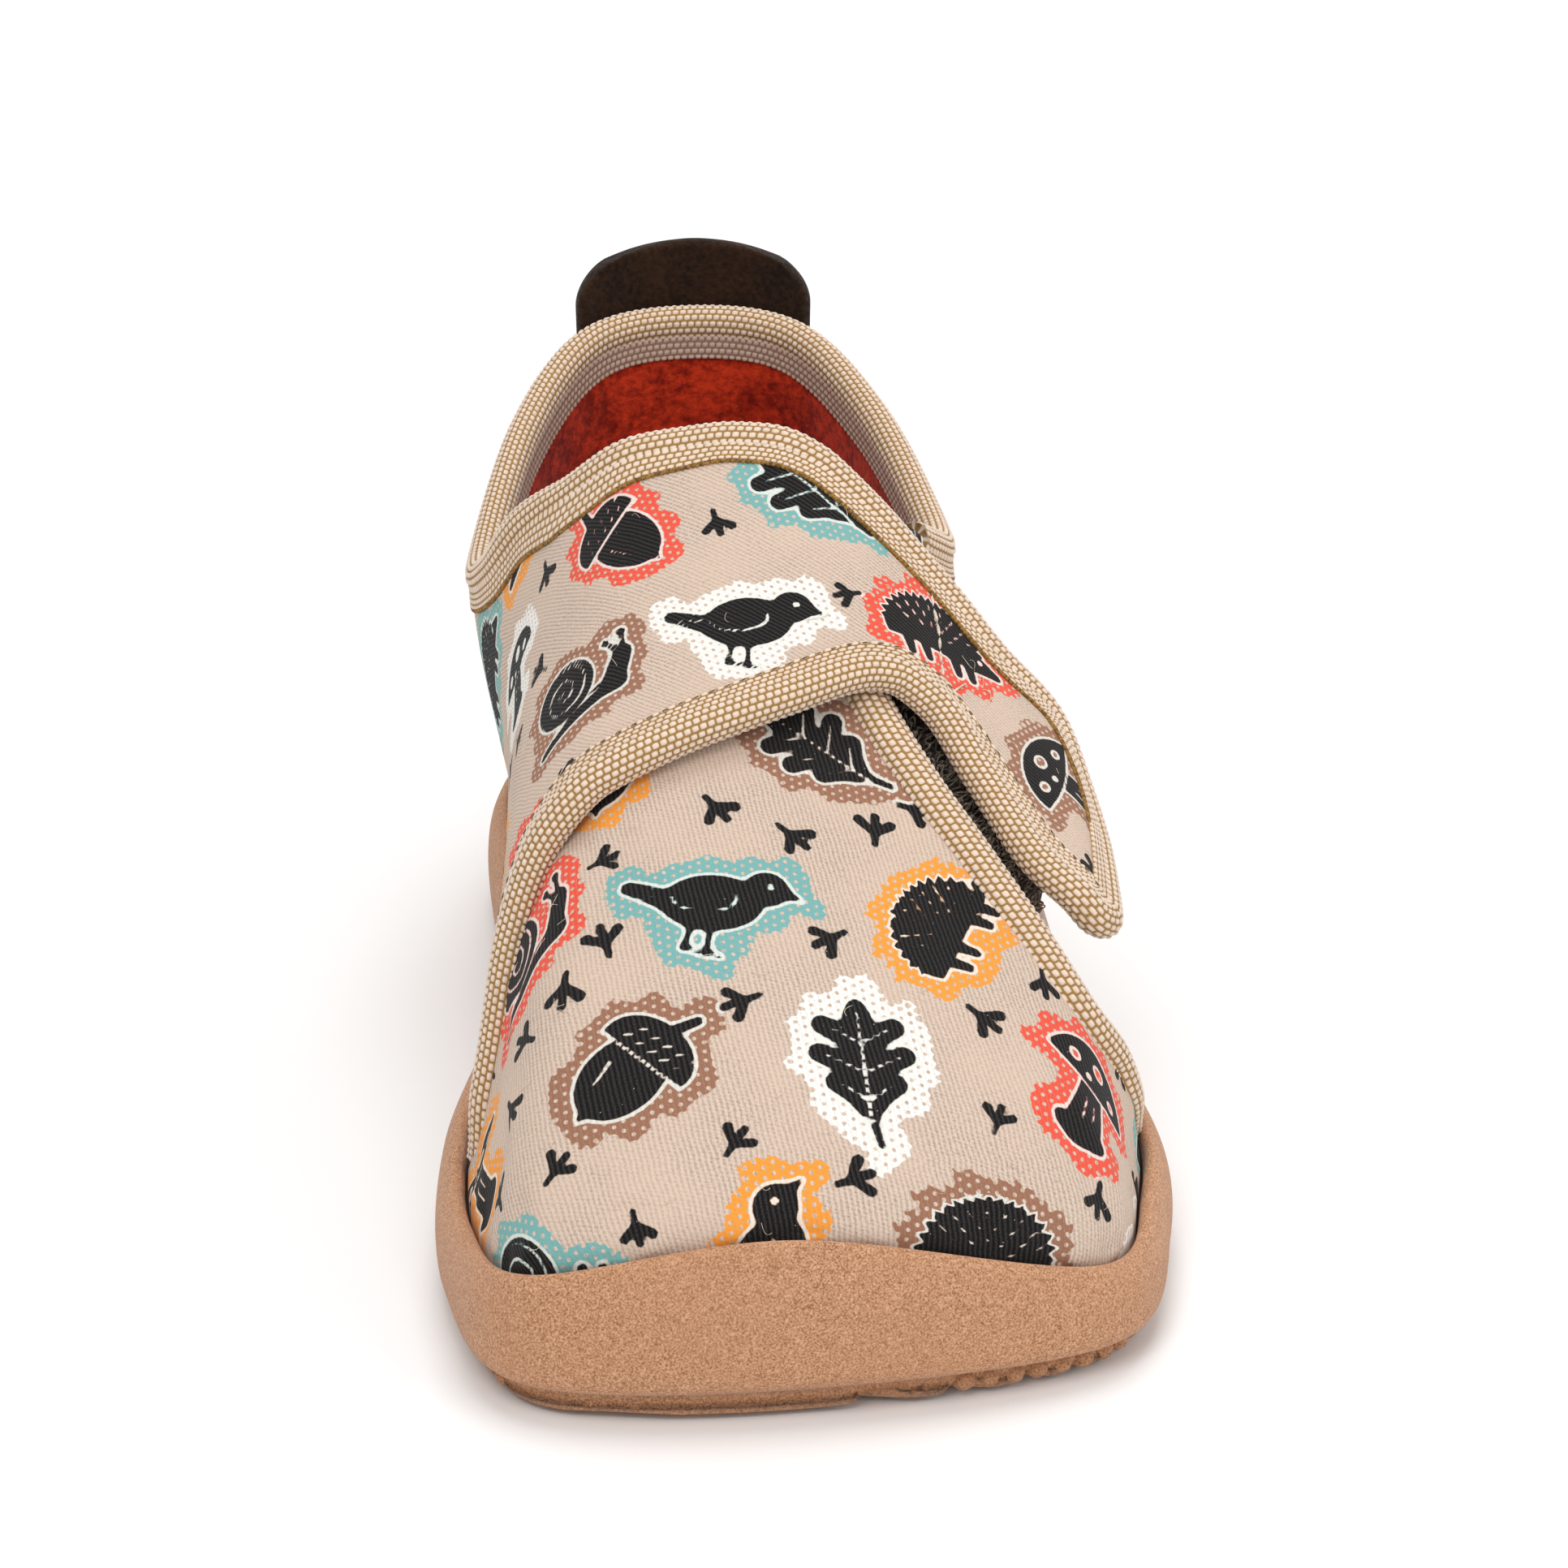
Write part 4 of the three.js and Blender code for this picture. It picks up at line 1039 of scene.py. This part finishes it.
# Repeats: one small form on every point of a mesh, turned by its stored directions
class Repeat:
    def __init__(self, name, inputs):
        self.tree = bpy.data.node_groups.new(name, "GeometryNodeTree")
        face = self.tree.interface
        face.new_socket("Points", in_out="INPUT", socket_type="NodeSocketGeometry")
        for title, kind in inputs:
            face.new_socket(title, in_out="INPUT", socket_type="NodeSocket" + kind)
        face.new_socket("Pieces", in_out="OUTPUT", socket_type="NodeSocketGeometry")
        self.entry = self.tree.nodes.new("NodeGroupInput")

    def given(self, title):
        return Wire(self.entry.outputs[title])

    def node(self, kind, settings=None, sockets=None, out=0):
        node = self.tree.nodes.new(kind)
        for key, value in (settings or {}).items():
            setattr(node, key, value)
        for key, value in (sockets or {}).items():
            plug(node.inputs[key], value)
        return Wire(node.outputs[out]) if node.outputs else None

    def stored(self, title):
        return self.node("GeometryNodeInputNamedAttribute", {"data_type": "FLOAT_VECTOR"}, {"Name": title})

    def scatter(self, form):
        # the form stands on the outward way and turns to the stored direction, at a random size
        turn = self.node("FunctionNodeAlignRotationToVector", {"axis": "Z"}, {"Vector": self.stored("out")})
        turn = self.node("FunctionNodeAlignRotationToVector", {"axis": "X", "pivot_axis": "Z"},
                         {"Rotation": turn, "Vector": self.stored("way")})
        spread = self.given("Spread")
        size = self.node("FunctionNodeRandomValue", {"data_type": "FLOAT"},
                         {2: 1.0 - spread, 3: 1.0 + spread, "Seed": self.given("Seed")}, out=1)
        pieces = self.node("GeometryNodeInstanceOnPoints", None, {
            "Points": self.given("Points"), "Instance": form, "Rotation": turn, "Scale": size})
        whole = self.node("GeometryNodeRealizeInstances", None, {"Geometry": pieces})
        whole = self.node("GeometryNodeSetMaterial", None, {"Geometry": whole, "Material": self.given("Material")})
        self.node("NodeGroupOutput", None, {"Pieces": whole})
        return self.tree


def stitchTree():
    g = Repeat("stitches", [("Length", "Float"), ("Thickness", "Float"), ("Spread", "Float"), ("Seed", "Int"),
                            ("Material", "Material")])
    ball = g.node("GeometryNodeMeshUVSphere", None, {"Segments": 6, "Rings": 5, "Radius": 0.5})
    size = g.node("ShaderNodeCombineXYZ", None, {"X": g.given("Length"), "Y": g.given("Thickness"),
                                                 "Z": g.given("Thickness")})
    form = g.node("GeometryNodeTransform", None, {"Geometry": ball, "Scale": size})
    form = g.node("GeometryNodeSetShadeSmooth", None, {"Geometry": form})
    return g.scatter(form)


def loopTree():
    g = Repeat("loops", [("Height", "Float"), ("Width", "Float"), ("Thickness", "Float"), ("Spread", "Float"),
                         ("Seed", "Int"), ("Material", "Material")])
    half = g.given("Width") * 0.5
    start = g.node("ShaderNodeCombineXYZ", None, {"X": half * -0.6, "Z": -0.0001})
    middle = g.node("ShaderNodeCombineXYZ", None, {"X": half * 0.9, "Y": half * 0.5, "Z": g.given("Height") * 2.0})
    end = g.node("ShaderNodeCombineXYZ", None, {"X": half * 0.2, "Y": half, "Z": -0.0001})
    arc = g.node("GeometryNodeCurveQuadraticBezier", None, {"Resolution": 7, "Start": start, "Middle": middle, "End": end})
    section = g.node("GeometryNodeCurvePrimitiveCircle", None, {"Resolution": 4, "Radius": g.given("Thickness") * 0.5})
    form = g.node("GeometryNodeCurveToMesh", None, {"Curve": arc, "Profile Curve": section, "Fill Caps": True})
    form = g.node("GeometryNodeSetShadeSmooth", None, {"Geometry": form})
    return g.scatter(form)


def lobeTree():
    g = Repeat("lobes", [("Length", "Float"), ("Width", "Float"), ("Thickness", "Float"), ("Spread", "Float"),
                         ("Seed", "Int"), ("Material", "Material")])
    ball = g.node("GeometryNodeMeshUVSphere", None, {"Segments": 10, "Rings": 6, "Radius": 0.5})
    size = g.node("ShaderNodeCombineXYZ", None, {"X": g.given("Length"), "Y": g.given("Width"),
                                                 "Z": g.given("Thickness")})
    form = g.node("GeometryNodeTransform", None, {"Geometry": ball, "Scale": size})
    form = g.node("GeometryNodeSetShadeSmooth", None, {"Geometry": form})
    return g.scatter(form)


stitches, loops, lobes = stitchTree(), loopTree(), lobeTree()


def repeated(name, tree, points, out, way, values):
    mesh = bpy.data.meshes.new(name)
    mesh.from_pydata(((points - middle) * mm).tolist(), [], [])
    for title, vectors in (("out", out), ("way", way)):
        attribute = mesh.attributes.new(title, "FLOAT_VECTOR", "POINT")
        attribute.data.foreach_set("vector", vectors.astype(np.float32).ravel())
    piece = bpy.data.objects.new(name, mesh)
    bpy.context.scene.collection.objects.link(piece)
    modifier = piece.modifiers.new("repeat", "NODES")
    modifier.node_group = tree
    sockets = {item.name: item.identifier for item in tree.interface.items_tree if item.in_out == "INPUT"}
    for title, value in values.items():
        modifier[sockets[title]] = value
    depsgraph = bpy.context.evaluated_depsgraph_get()
    made = bpy.data.meshes.new_from_object(piece.evaluated_get(depsgraph))
    piece.modifiers.remove(modifier)
    piece.data = made
    return piece


def alongMargin(frame, reach, pitch, height, turn=0.0):
    # points at the outer margin's edge, their outward way and their direction along it
    line, normal = restOn(frame["points"] + frame["side"] * reach[:, None], panelSurface)
    line, normal = smoothed(line, 4), unit(smoothed(normal, 4))
    gone = np.r_[0, np.cumsum(np.linalg.norm(np.diff(line, axis=0), axis=1))]
    even = np.arange(pitch / 2, gone[-1], pitch)
    place = lambda v: np.stack([np.interp(even, gone, v[:, k]) for k in range(3)], 1)
    out = unit(place(normal))
    way = unit(place(np.gradient(line, axis=0)))
    side = np.cross(out, way)
    a = math.radians(turn)
    return place(line) + out * height, out, way * math.cos(a) + side * math.sin(a)


cordSizes = {"pitch": 0.5, "length": 0.00084, "thickness": 0.0005, "turn": 32.0, "height": 0.12}
topEdge = part(edge, 3, 25.9)
cordLine = alongMargin(topEdge, reachAlong(topEdge, "outer") + 0.05, cordSizes["pitch"], cordSizes["height"],
                       cordSizes["turn"])
cord = repeated("golden_cord", stitches, *cordLine, {
    "Length": cordSizes["length"], "Thickness": cordSizes["thickness"], "Spread": 0.06, "Seed": 3,
    "Material": goldThread})
wear(cord, "edge_binding")
seamSizes = {"pitch": 1.64, "length": 0.00075, "thickness": 0.00017}
frontEdge = part(edge, 27.6, 37.6)
seamLine = alongMargin(frontEdge, reachAlong(frontEdge, "outer") - 0.25, seamSizes["pitch"], tapeSizes["marginLift"],
                       6.0)
seam = repeated("front_seam", stitches, *seamLine, {
    "Length": seamSizes["length"], "Thickness": seamSizes["thickness"], "Spread": 0.1, "Seed": 5,
    "Material": darkThread})
wear(seam, "edge_binding")


# Straight stitches that hold the strap's pad, from the top edge down, with a loose end
barSizes = {"path": [(21.78, 0.90), (21.70, 0.74), (21.68, 0.60), (21.61, 0.48), (21.42, 0.26), (21.39, 0.15)], "pitch": 1.9,
            "length": 0.0017, "thickness": 0.00033, "tail": [(21.39, 0.15), (21.55, 0.21), (21.69, 0.27), (22.00, 0.42)]}


def strapLine(corners, pitch, height):
    corners = np.array(corners)
    row, across = alongRows(corners, np.linspace(0, len(corners) - 1, 80)).T
    place, share, lift = panelPoint(row, across)
    line, out = lifted(place, share, lift), lastNormal(place, share)
    gone = np.r_[0, np.cumsum(np.linalg.norm(np.diff(line, axis=0), axis=1))]
    even = np.arange(pitch / 2, gone[-1], pitch)
    steps = np.gradient(line, axis=0)
    at = lambda v: np.stack([np.interp(even, gone, v[:, k]) for k in range(3)], 1)
    return at(line) + at(out) * height, unit(at(out)), unit(at(steps))


for title, corners, pitch, length, thickness in (
        ("bar_stitches", barSizes["path"], barSizes["pitch"], barSizes["length"], barSizes["thickness"]),
        ("loose_end", barSizes["tail"], 0.3, 0.0006, 0.00022)):
    bar = repeated(title, stitches, *strapLine(corners, pitch, 0.08), {
        "Length": length, "Thickness": thickness, "Spread": 0.08, "Seed": 11, "Material": creamThread})
    wear(bar, "upper")


# Sole
soleLook = {"rings": 512, "ribPitch": 2.9, "ribSlant": 11.0, "grooveWidth": 0.6, "grooveFlank": 0.6,
            "grooveDepth": 1.0, "plainToe": 3.6, "plainHeel": 5.0}
cupRows = np.array([[0.16, 0.10], [0.00, 0.36], [0.07, 0.67], [0.34, 0.89], [0.66, 1.00], [0.90, 0.97], [1.00, 0.86]])


def toeRise(y):
    return last["toeSpring"] * np.clip((-y / last["soleLength"] - 0.24) / 0.26, 0, 1) ** 2


def ringPiece(name, rings, material):
    rings = np.array(rings)
    count = rings.shape[1]
    index = np.arange(rings.shape[0] * count).reshape(-1, count)
    centres = rings[[0, -1]].mean(1)
    low, high = index.size, index.size + 1
    nextOne = np.roll(index, -1, 1)
    caps = np.concatenate([np.stack([np.full(count, low), nextOne[0], index[0]], 1),
                           np.stack([np.full(count, high), index[-1], nextOne[-1]], 1)])
    body = quadsOf(index, wrapColumns=True)
    return makePiece(name, np.concatenate([rings.reshape(-1, 3), centres]), [body, caps[:, ::-1]], [material])


def makeCup():
    place = np.arange(soleLook["rings"]) / soleLook["rings"] * 16
    treadTop = lambda y: last["treadThickness"] + gap + toeRise(y)
    rings = []

    def add(inset, heightAt, shrink=1.0):
        plan = solePlan(place, inset)[0] * shrink
        rings.append(np.c_[plan, heightAt(plan[:, 1])])

    for shrink in (0.05, 0.3, 0.6, 0.85, 0.96):
        add(last["treadTuck"], treadTop, shrink)
    add(last["treadTuck"], treadTop)
    under = np.array([[last["treadTuck"] / last["lipWidth"], 0.0]])
    profile = np.concatenate([under, cupRows])
    for row in np.linspace(0, len(profile) - 1, 45)[1:]:
        inset, height = alongRows(profile, np.array(row))
        add(inset * last["lipWidth"], lambda y: mix(treadTop(y), lipHeight(place), height))
    for drop in (0.5, 1.5):
        add(last["lipWidth"], lambda y: lipHeight(place) * 0.83 - drop)
    add(last["lipWidth"], lambda y: 0 * y + last["footbedHeight"])
    for shrink in (0.85, 0.6, 0.3, 0.05):
        add(last["lipWidth"], lambda y: 0 * y + last["footbedHeight"], shrink)
    return ringPiece("cup_sole", rings, foam)


def makeTread():
    look = soleLook
    slant = math.radians(look["ribSlant"])
    axis = np.array([-math.sin(slant), -math.cos(slant)])
    place = np.linspace(0, 16, 3200)
    outline = solePlan(place, last["treadTuck"])[0]
    travel = outline @ axis
    back, front = np.argmin(travel), np.argmax(travel)
    start, end = travel[back] + 0.05, travel[front] - 0.05
    ribbed = (start + look["plainHeel"], end - look["plainToe"])
    ribs = round((ribbed[1] - ribbed[0]) / look["ribPitch"])
    pitch = (ribbed[1] - ribbed[0]) / ribs
    stops = np.unique(np.r_[start + 6.0 * np.linspace(0, 1, 9) ** 2, np.linspace(ribbed[0], ribbed[1], 12 * ribs + 1),
                            end - 9.0 * np.linspace(0, 1, 13) ** 2])
    order = np.argsort(travel)
    doubled = np.r_[outline, outline]
    arc = lambda a, b: doubled[a:b] if a < b else doubled[a:b + 3200]
    outerSide, innerSide = arc(back, front), arc(front, back + 3200 if back < front else back)
    sides = []
    for line in (outerSide, innerSide):
        t = line @ axis
        rank = np.argsort(t)
        sides.append(np.stack([np.interp(stops, t[rank], line[rank, k]) for k in range(2)], 1))
    phase = (stops - ribbed[0]) / pitch
    fromGroove = np.abs(phase - np.floor(phase) - 0.5) * pitch
    inRibs = (stops >= ribbed[0]) & (stops <= ribbed[1])
    half = look["grooveWidth"] / 2
    cut = np.where(inRibs, look["grooveDepth"] * (1 - ease(half, half + look["grooveFlank"], fromGroove)), 0)
    cut = cut + np.where(inRibs, 0.16 * (1 - ease(half, pitch / 2, fromGroove)), 0)
    tuck = 0.55 * cut[:, None] / look["grooveDepth"]  # the ribs' ends stand out as lobes
    across = unit(sides[1] - sides[0])
    sides = [sides[0] + across * tuck, sides[1] - across * tuck]
    wide = np.unique(np.r_[np.linspace(0, 1, 13), 0.012, 0.03, 0.97, 0.988])
    grid = sides[0][:, None] * (1 - wide)[None, :, None] + sides[1][:, None] * wide[None, :, None]
    span = np.linalg.norm(sides[1] - sides[0], axis=1)[:, None]
    rim = np.minimum(wide, 1 - wide)[None] * span
    rim = np.minimum(rim, np.minimum(stops - start, end - stops)[:, None] * 1.0)
    round_ = 0.7 * (1 - np.sqrt(np.clip(1 - (1 - np.clip(rim / 0.9, 0, 1)) ** 2, 0, 1)))
    low = toeRise(grid[..., 1]) + np.minimum(cut[:, None] + round_, last["treadThickness"] - 0.6)
    high = toeRise(grid[..., 1]) + last["treadThickness"] + gap
    m, n = low.shape
    bottom = np.concatenate([grid, low[..., None]], -1)
    top = np.concatenate([grid, high[..., None]], -1)
    a = np.arange(m * n).reshape(m, n)
    b = m * n + a
    faces = [quadsOf(a), quadsOf(b[:, ::-1])]
    for p, q in ((a[::-1, 0], b[::-1, 0]), (a[:, -1], b[:, -1]), (a[0], b[0]), (a[-1, ::-1], b[-1, ::-1])):
        faces.append(np.stack([p[:-1], p[1:], q[1:], q[:-1]], 1)[:, ::-1])
    return makePiece("ribbed_tread", np.concatenate([bottom.reshape(-1, 3), top.reshape(-1, 3)]), faces, [shadedTreadFoam])


def makeInsole():
    inset = upperInset + wall - last["lastedLift"] + gap
    place = np.arange(256) / 256 * 16
    low = last["footbedHeight"] + gap
    top = low + last["insoleThickness"]
    rings = []
    for shrink in (0.05, 0.5, 1.0):
        plan = solePlan(place, inset)[0] * shrink
        rings.append(np.c_[plan, np.full(256, low)])
    for k in range(1, 9):
        a = k / 8 * math.pi / 2
        plan = solePlan(place, inset + 1.1 * (1 - math.cos(a)))[0]
        rings.append(np.c_[plan, np.full(256, top - 1.1 + 1.1 * math.sin(a))])
    for shrink in (0.9, 0.75, 0.6, 0.45, 0.3, 0.15, 0.03):
        plan = solePlan(place, inset + 1.1)[0] * shrink
        rings.append(np.c_[plan, np.full(256, top)])
    return ringPiece("felt_insole", rings, soleFelt)


def makeRibEnds():
    # the ribs end in round lobes along both sides and round the heel
    look = ribEnds
    place = np.linspace(look["from"] - 16, look["to"], 4000)
    line = solePlan(place, look["inset"])[0]
    gone = np.r_[0, np.cumsum(np.linalg.norm(np.diff(line, axis=0), axis=1))]
    even = np.interp(np.arange(0, gone[-1], look["pitch"]), gone, place)
    plan, outward = solePlan(even, look["inset"])
    points = np.c_[plan, toeRise(plan[:, 1]) + look["height"]]
    level = np.c_[outward, np.zeros(len(outward))]
    return repeated("rib_ends", lobes, points, np.tile([0.0, 0.0, 1.0], (len(points), 1)), level, {
        "Length": look["depth"], "Width": look["width"], "Thickness": look["tall"], "Spread": 0.03, "Seed": 2,
        "Material": shadedTreadFoam})


ribEnds = {"from": 9.35, "to": 7.55, "inset": 3.3, "pitch": 2.4, "height": 1.15, "width": 0.0024, "depth": 0.0028,
           "tall": 0.0022}
wear(makeCup(), "midsole")
wear(makeTread(), "outsole")
wear(makeRibEnds(), "outsole")
wear(makeInsole(), "insole")


# Heel tab and the fastener's pads, each a closed form whose edges round over
def pillow(name, frontAt, backAt, size, cells, material, edge=0.9, flat=None):
    # frontAt and backAt give points for shares across and up; the two faces meet at the rim
    spread = lambda n, reach: ease(0, 1, np.linspace(0, 1, n + 1)) * 0.5 + np.linspace(0, 1, n + 1) * 0.5
    a, b = np.meshgrid(spread(cells[0], size[0]), spread(cells[1], size[1]), indexing="ij")
    d = np.minimum(np.minimum(a, 1 - a) * size[0], np.minimum(b, 1 - b) * size[1])
    full = np.sqrt(np.clip(1 - (1 - np.clip(d / edge, 0, 1)) ** 2, 0, 1))[..., None]
    front, back = frontAt(a, b), backAt(a, b)
    centre = (front + back) / 2
    front, back = centre + (front - centre) * full, centre + (back - centre) * full
    m, n = a.shape
    index = np.arange(m * n).reshape(m, n)
    inside = np.zeros((m, n), bool)
    inside[1:-1, 1:-1] = True
    behind = index.copy()
    behind[inside] = m * n + np.arange(inside.sum())
    points = np.concatenate([front.reshape(-1, 3), back[inside]])
    return makePiece(name, points, [quadsOf(index), quadsOf(behind[:, ::-1])], [material])


tabLook = {"width": 24.6, "shift": 0.2, "arch": 1.2, "rise": 8.8, "drop": 21.0, "corner": 5.2,
           "thickness": 2.1}


def makeTab():
    look = tabLook
    heel = [v[0] for v in lastCurve(np.array([0.0]))]
    samples = onLast(np.zeros(200), np.linspace(0, 1, 200))
    below = np.linalg.norm(np.diff(samples, axis=0), axis=1).sum()
    above = 3 * np.linalg.norm(heel[3] - heel[2])
    clear = (last["tapeWidth"] - wall) / 2 + gap
    pair = lifted(np.array([0.5, -0.5]), 1.0, clear)
    stationWidth = np.linalg.norm(pair[0] - pair[1])

    def at(a, b, extra):
        height = mix(-look["drop"], look["rise"], b)
        toEnd = np.minimum(look["rise"] - height, height + look["drop"])
        over = np.maximum(0, look["corner"] - toEnd)
        half = look["width"] / 2 - (look["corner"] - np.sqrt(np.maximum(0, look["corner"] ** 2 - over ** 2)))
        place = (look["shift"] + mix(-half, half, a)) / stationWidth
        arch = look["arch"] * (2 * a - 1) ** 2 * np.clip(height / look["rise"], 0, 1)
        share = 1 + (height - arch) / np.where(height > 0, above, below)
        lift = mix(gap, clear, ease(-look["drop"], -0.3 * look["drop"], height))
        return onLast(place, share) + lastNormal(place, share) * (lift + extra)[..., None]

    return pillow("heel_tab_felt", lambda a, b: at(a, b, look["thickness"]), lambda a, b: at(a, b, 0.0),
                  (look["width"], look["rise"] + look["drop"]), (56, 72), tabSuede)


def makeLoopPad():
    def at(a, b, lift):
        share = mix(0.42, 0.86, b)
        place = mix(vampSide(share, "outer") - 0.24, 5.35, a)
        return lifted(place, share, gap - underlap + lift + 0 * a)
    return pillow("loop_pad_base", lambda a, b: at(a, b, 1.3), lambda a, b: at(a, b, 0.0), (20, 28), (30, 40), loopPile)


def makeHookPad():
    def at(a, b, depth):
        line = panelAt(mix(21.6, 23.9, a))
        across = mix(0.24, 0.76, b)
        place = mix(line["lowRound"], line["highRound"], across)
        share = mix(line["lowShare"], line["highShare"], across)
        return lifted(place, share, line["lift"] - wall - gap - depth)
    return pillow("hook_pad_base", lambda a, b: at(a, b, 0.0), lambda a, b: at(a, b, last["hookThickness"]),
                  (18, 20), (24, 24), loopPile)


def makeLint():
    # stray hairs that lie on the cloth
    look = lintLook
    rng = np.random.default_rng(21)
    a, share = rng.uniform(0.08, 0.92, look["vamp"]), rng.uniform(0.04, 0.6, look["vamp"])
    place = mix(vampSide(share, "outer"), vampSide(share, "inner"), a)
    points, out = lifted(place, share, vampLift(a, share)), lastNormal(place, share)
    row, across = rng.uniform(14.5, 25.0, look["strap"]), rng.uniform(0.2, 0.8, look["strap"])
    place, share, lift = panelPoint(row, across)
    points = np.concatenate([points, lifted(place, share, lift)])
    out = np.concatenate([out, lastNormal(place, share)])
    way = rng.normal(size=out.shape)
    way = unit(way - out * (way * out).sum(1, keepdims=True))
    return repeated("lint", loops, points, out, way, {
        "Height": look["height"], "Width": look["width"], "Thickness": look["thickness"], "Spread": 0.5,
        "Seed": 4, "Material": creamThread})


lintLook = {"vamp": 46, "strap": 24, "height": 0.00022, "width": 0.0026, "thickness": 0.000045}


def makeLoops():
    # the fastener's soft half: fine loops that lie every way
    look = loopLook
    rng = np.random.default_rng(12)
    a, b = rng.uniform(0.02, 0.98, (2, look["count"]))
    share = mix(0.42, 0.86, b)
    place = mix(vampSide(share, "outer") - 0.24, 5.35, a)
    out = lastNormal(place, share)
    points = lifted(place, share, gap - underlap + 1.25)
    turn = rng.uniform(0, 2 * math.pi, len(a))
    way = np.stack([np.cos(turn), np.sin(turn), 0 * turn], 1)
    way = unit(way - out * (way * out).sum(1, keepdims=True))
    return repeated("loop_pile", loops, points, unit(out + 0.35 * rng.normal(size=out.shape)), way, {
        "Height": look["height"], "Width": look["width"], "Thickness": look["thickness"], "Spread": 0.4,
        "Seed": 8, "Material": loopThread})


loopLook = {"count": 1500, "height": 0.0009, "width": 0.0011, "thickness": 0.00017}
wear(makeTab(), "heel_tab")
wear(makeLoopPad(), "loop_pad")
wear(makeLoops(), "loop_pad")
wear(makeLint(), "upper")
wear(makeHookPad(), "hook_pad")


# Camera, floor and light
view = {"azimuth": -5.0, "elevation": 22.0, "distance": 0.560, "target": (0.0014, 0.0001, 0.0330),
        "lens": 127.98, "floorTone": (243, 243, 243)}


def makeStage():
    a, e = math.radians(view["azimuth"]), math.radians(view["elevation"])
    back = Vector((math.sin(a) * math.cos(e), -math.cos(a) * math.cos(e), math.sin(e)))
    lens = bpy.data.cameras.new("camera")
    lens.lens, lens.sensor_width = view["lens"], 36.0
    lens.clip_start, lens.clip_end = 0.01, 20.0
    camera = bpy.data.objects.new("camera", lens)
    camera.location = Vector(view["target"]) + back * view["distance"]
    camera.rotation_euler = (-back).to_track_quat("-Z", "Y").to_euler()
    bpy.context.scene.collection.objects.link(camera)
    bpy.context.scene.camera = camera

    f = Finish("pale floor")
    grain = f.noise(f.place(), 3.0, 2.0)
    f.done(f.blend(srgb(*view["floorTone"]), srgb(249, 249, 249), grain), 0.8, [(grain, 0.0001, 0.1)])
    size = 6.0
    mesh = bpy.data.meshes.new("floor")
    mesh.from_pydata([(-size, -size, 0), (size, -size, 0), (size, size, 0), (-size, size, 0)], [], [(0, 1, 2, 3)])
    mesh.materials.append(f.material)
    floor = bpy.data.objects.new("floor", mesh)
    bpy.context.scene.collection.objects.link(floor)

    world = bpy.data.worlds.new("studio")
    world.use_nodes = True
    world.node_tree.nodes["Background"].inputs["Color"].default_value = (1, 1, 1, 1)
    world.node_tree.nodes["Background"].inputs["Strength"].default_value = 0.55
    bpy.context.scene.world = world
    for name, place, size, power in (("key", (-0.30, -0.75, 1.0), 0.6, 4.9), ("fill", (0.8, -0.6, 0.5), 0.8, 2.4),
                                     ("top", (0.05, 0.15, 1.1), 0.7, 4.6), ("rim", (0.3, 0.9, 0.6), 0.7, 1.5),
                                     ("low front", (-0.1, -1.1, 0.22), 0.5, 0.5)):
        light = bpy.data.lights.new(name, "AREA")
        light.shape, light.size, light.energy = "DISK", size, power
        lamp = bpy.data.objects.new(name, light)
        lamp.location = place
        lamp.rotation_euler = (Vector((0, 0, 0.03)) - Vector(place)).to_track_quat("-Z", "Y").to_euler()
        bpy.context.scene.collection.objects.link(lamp)
    bpy.context.scene.view_settings.view_transform = "Standard"


makeStage()
print("stage ready")
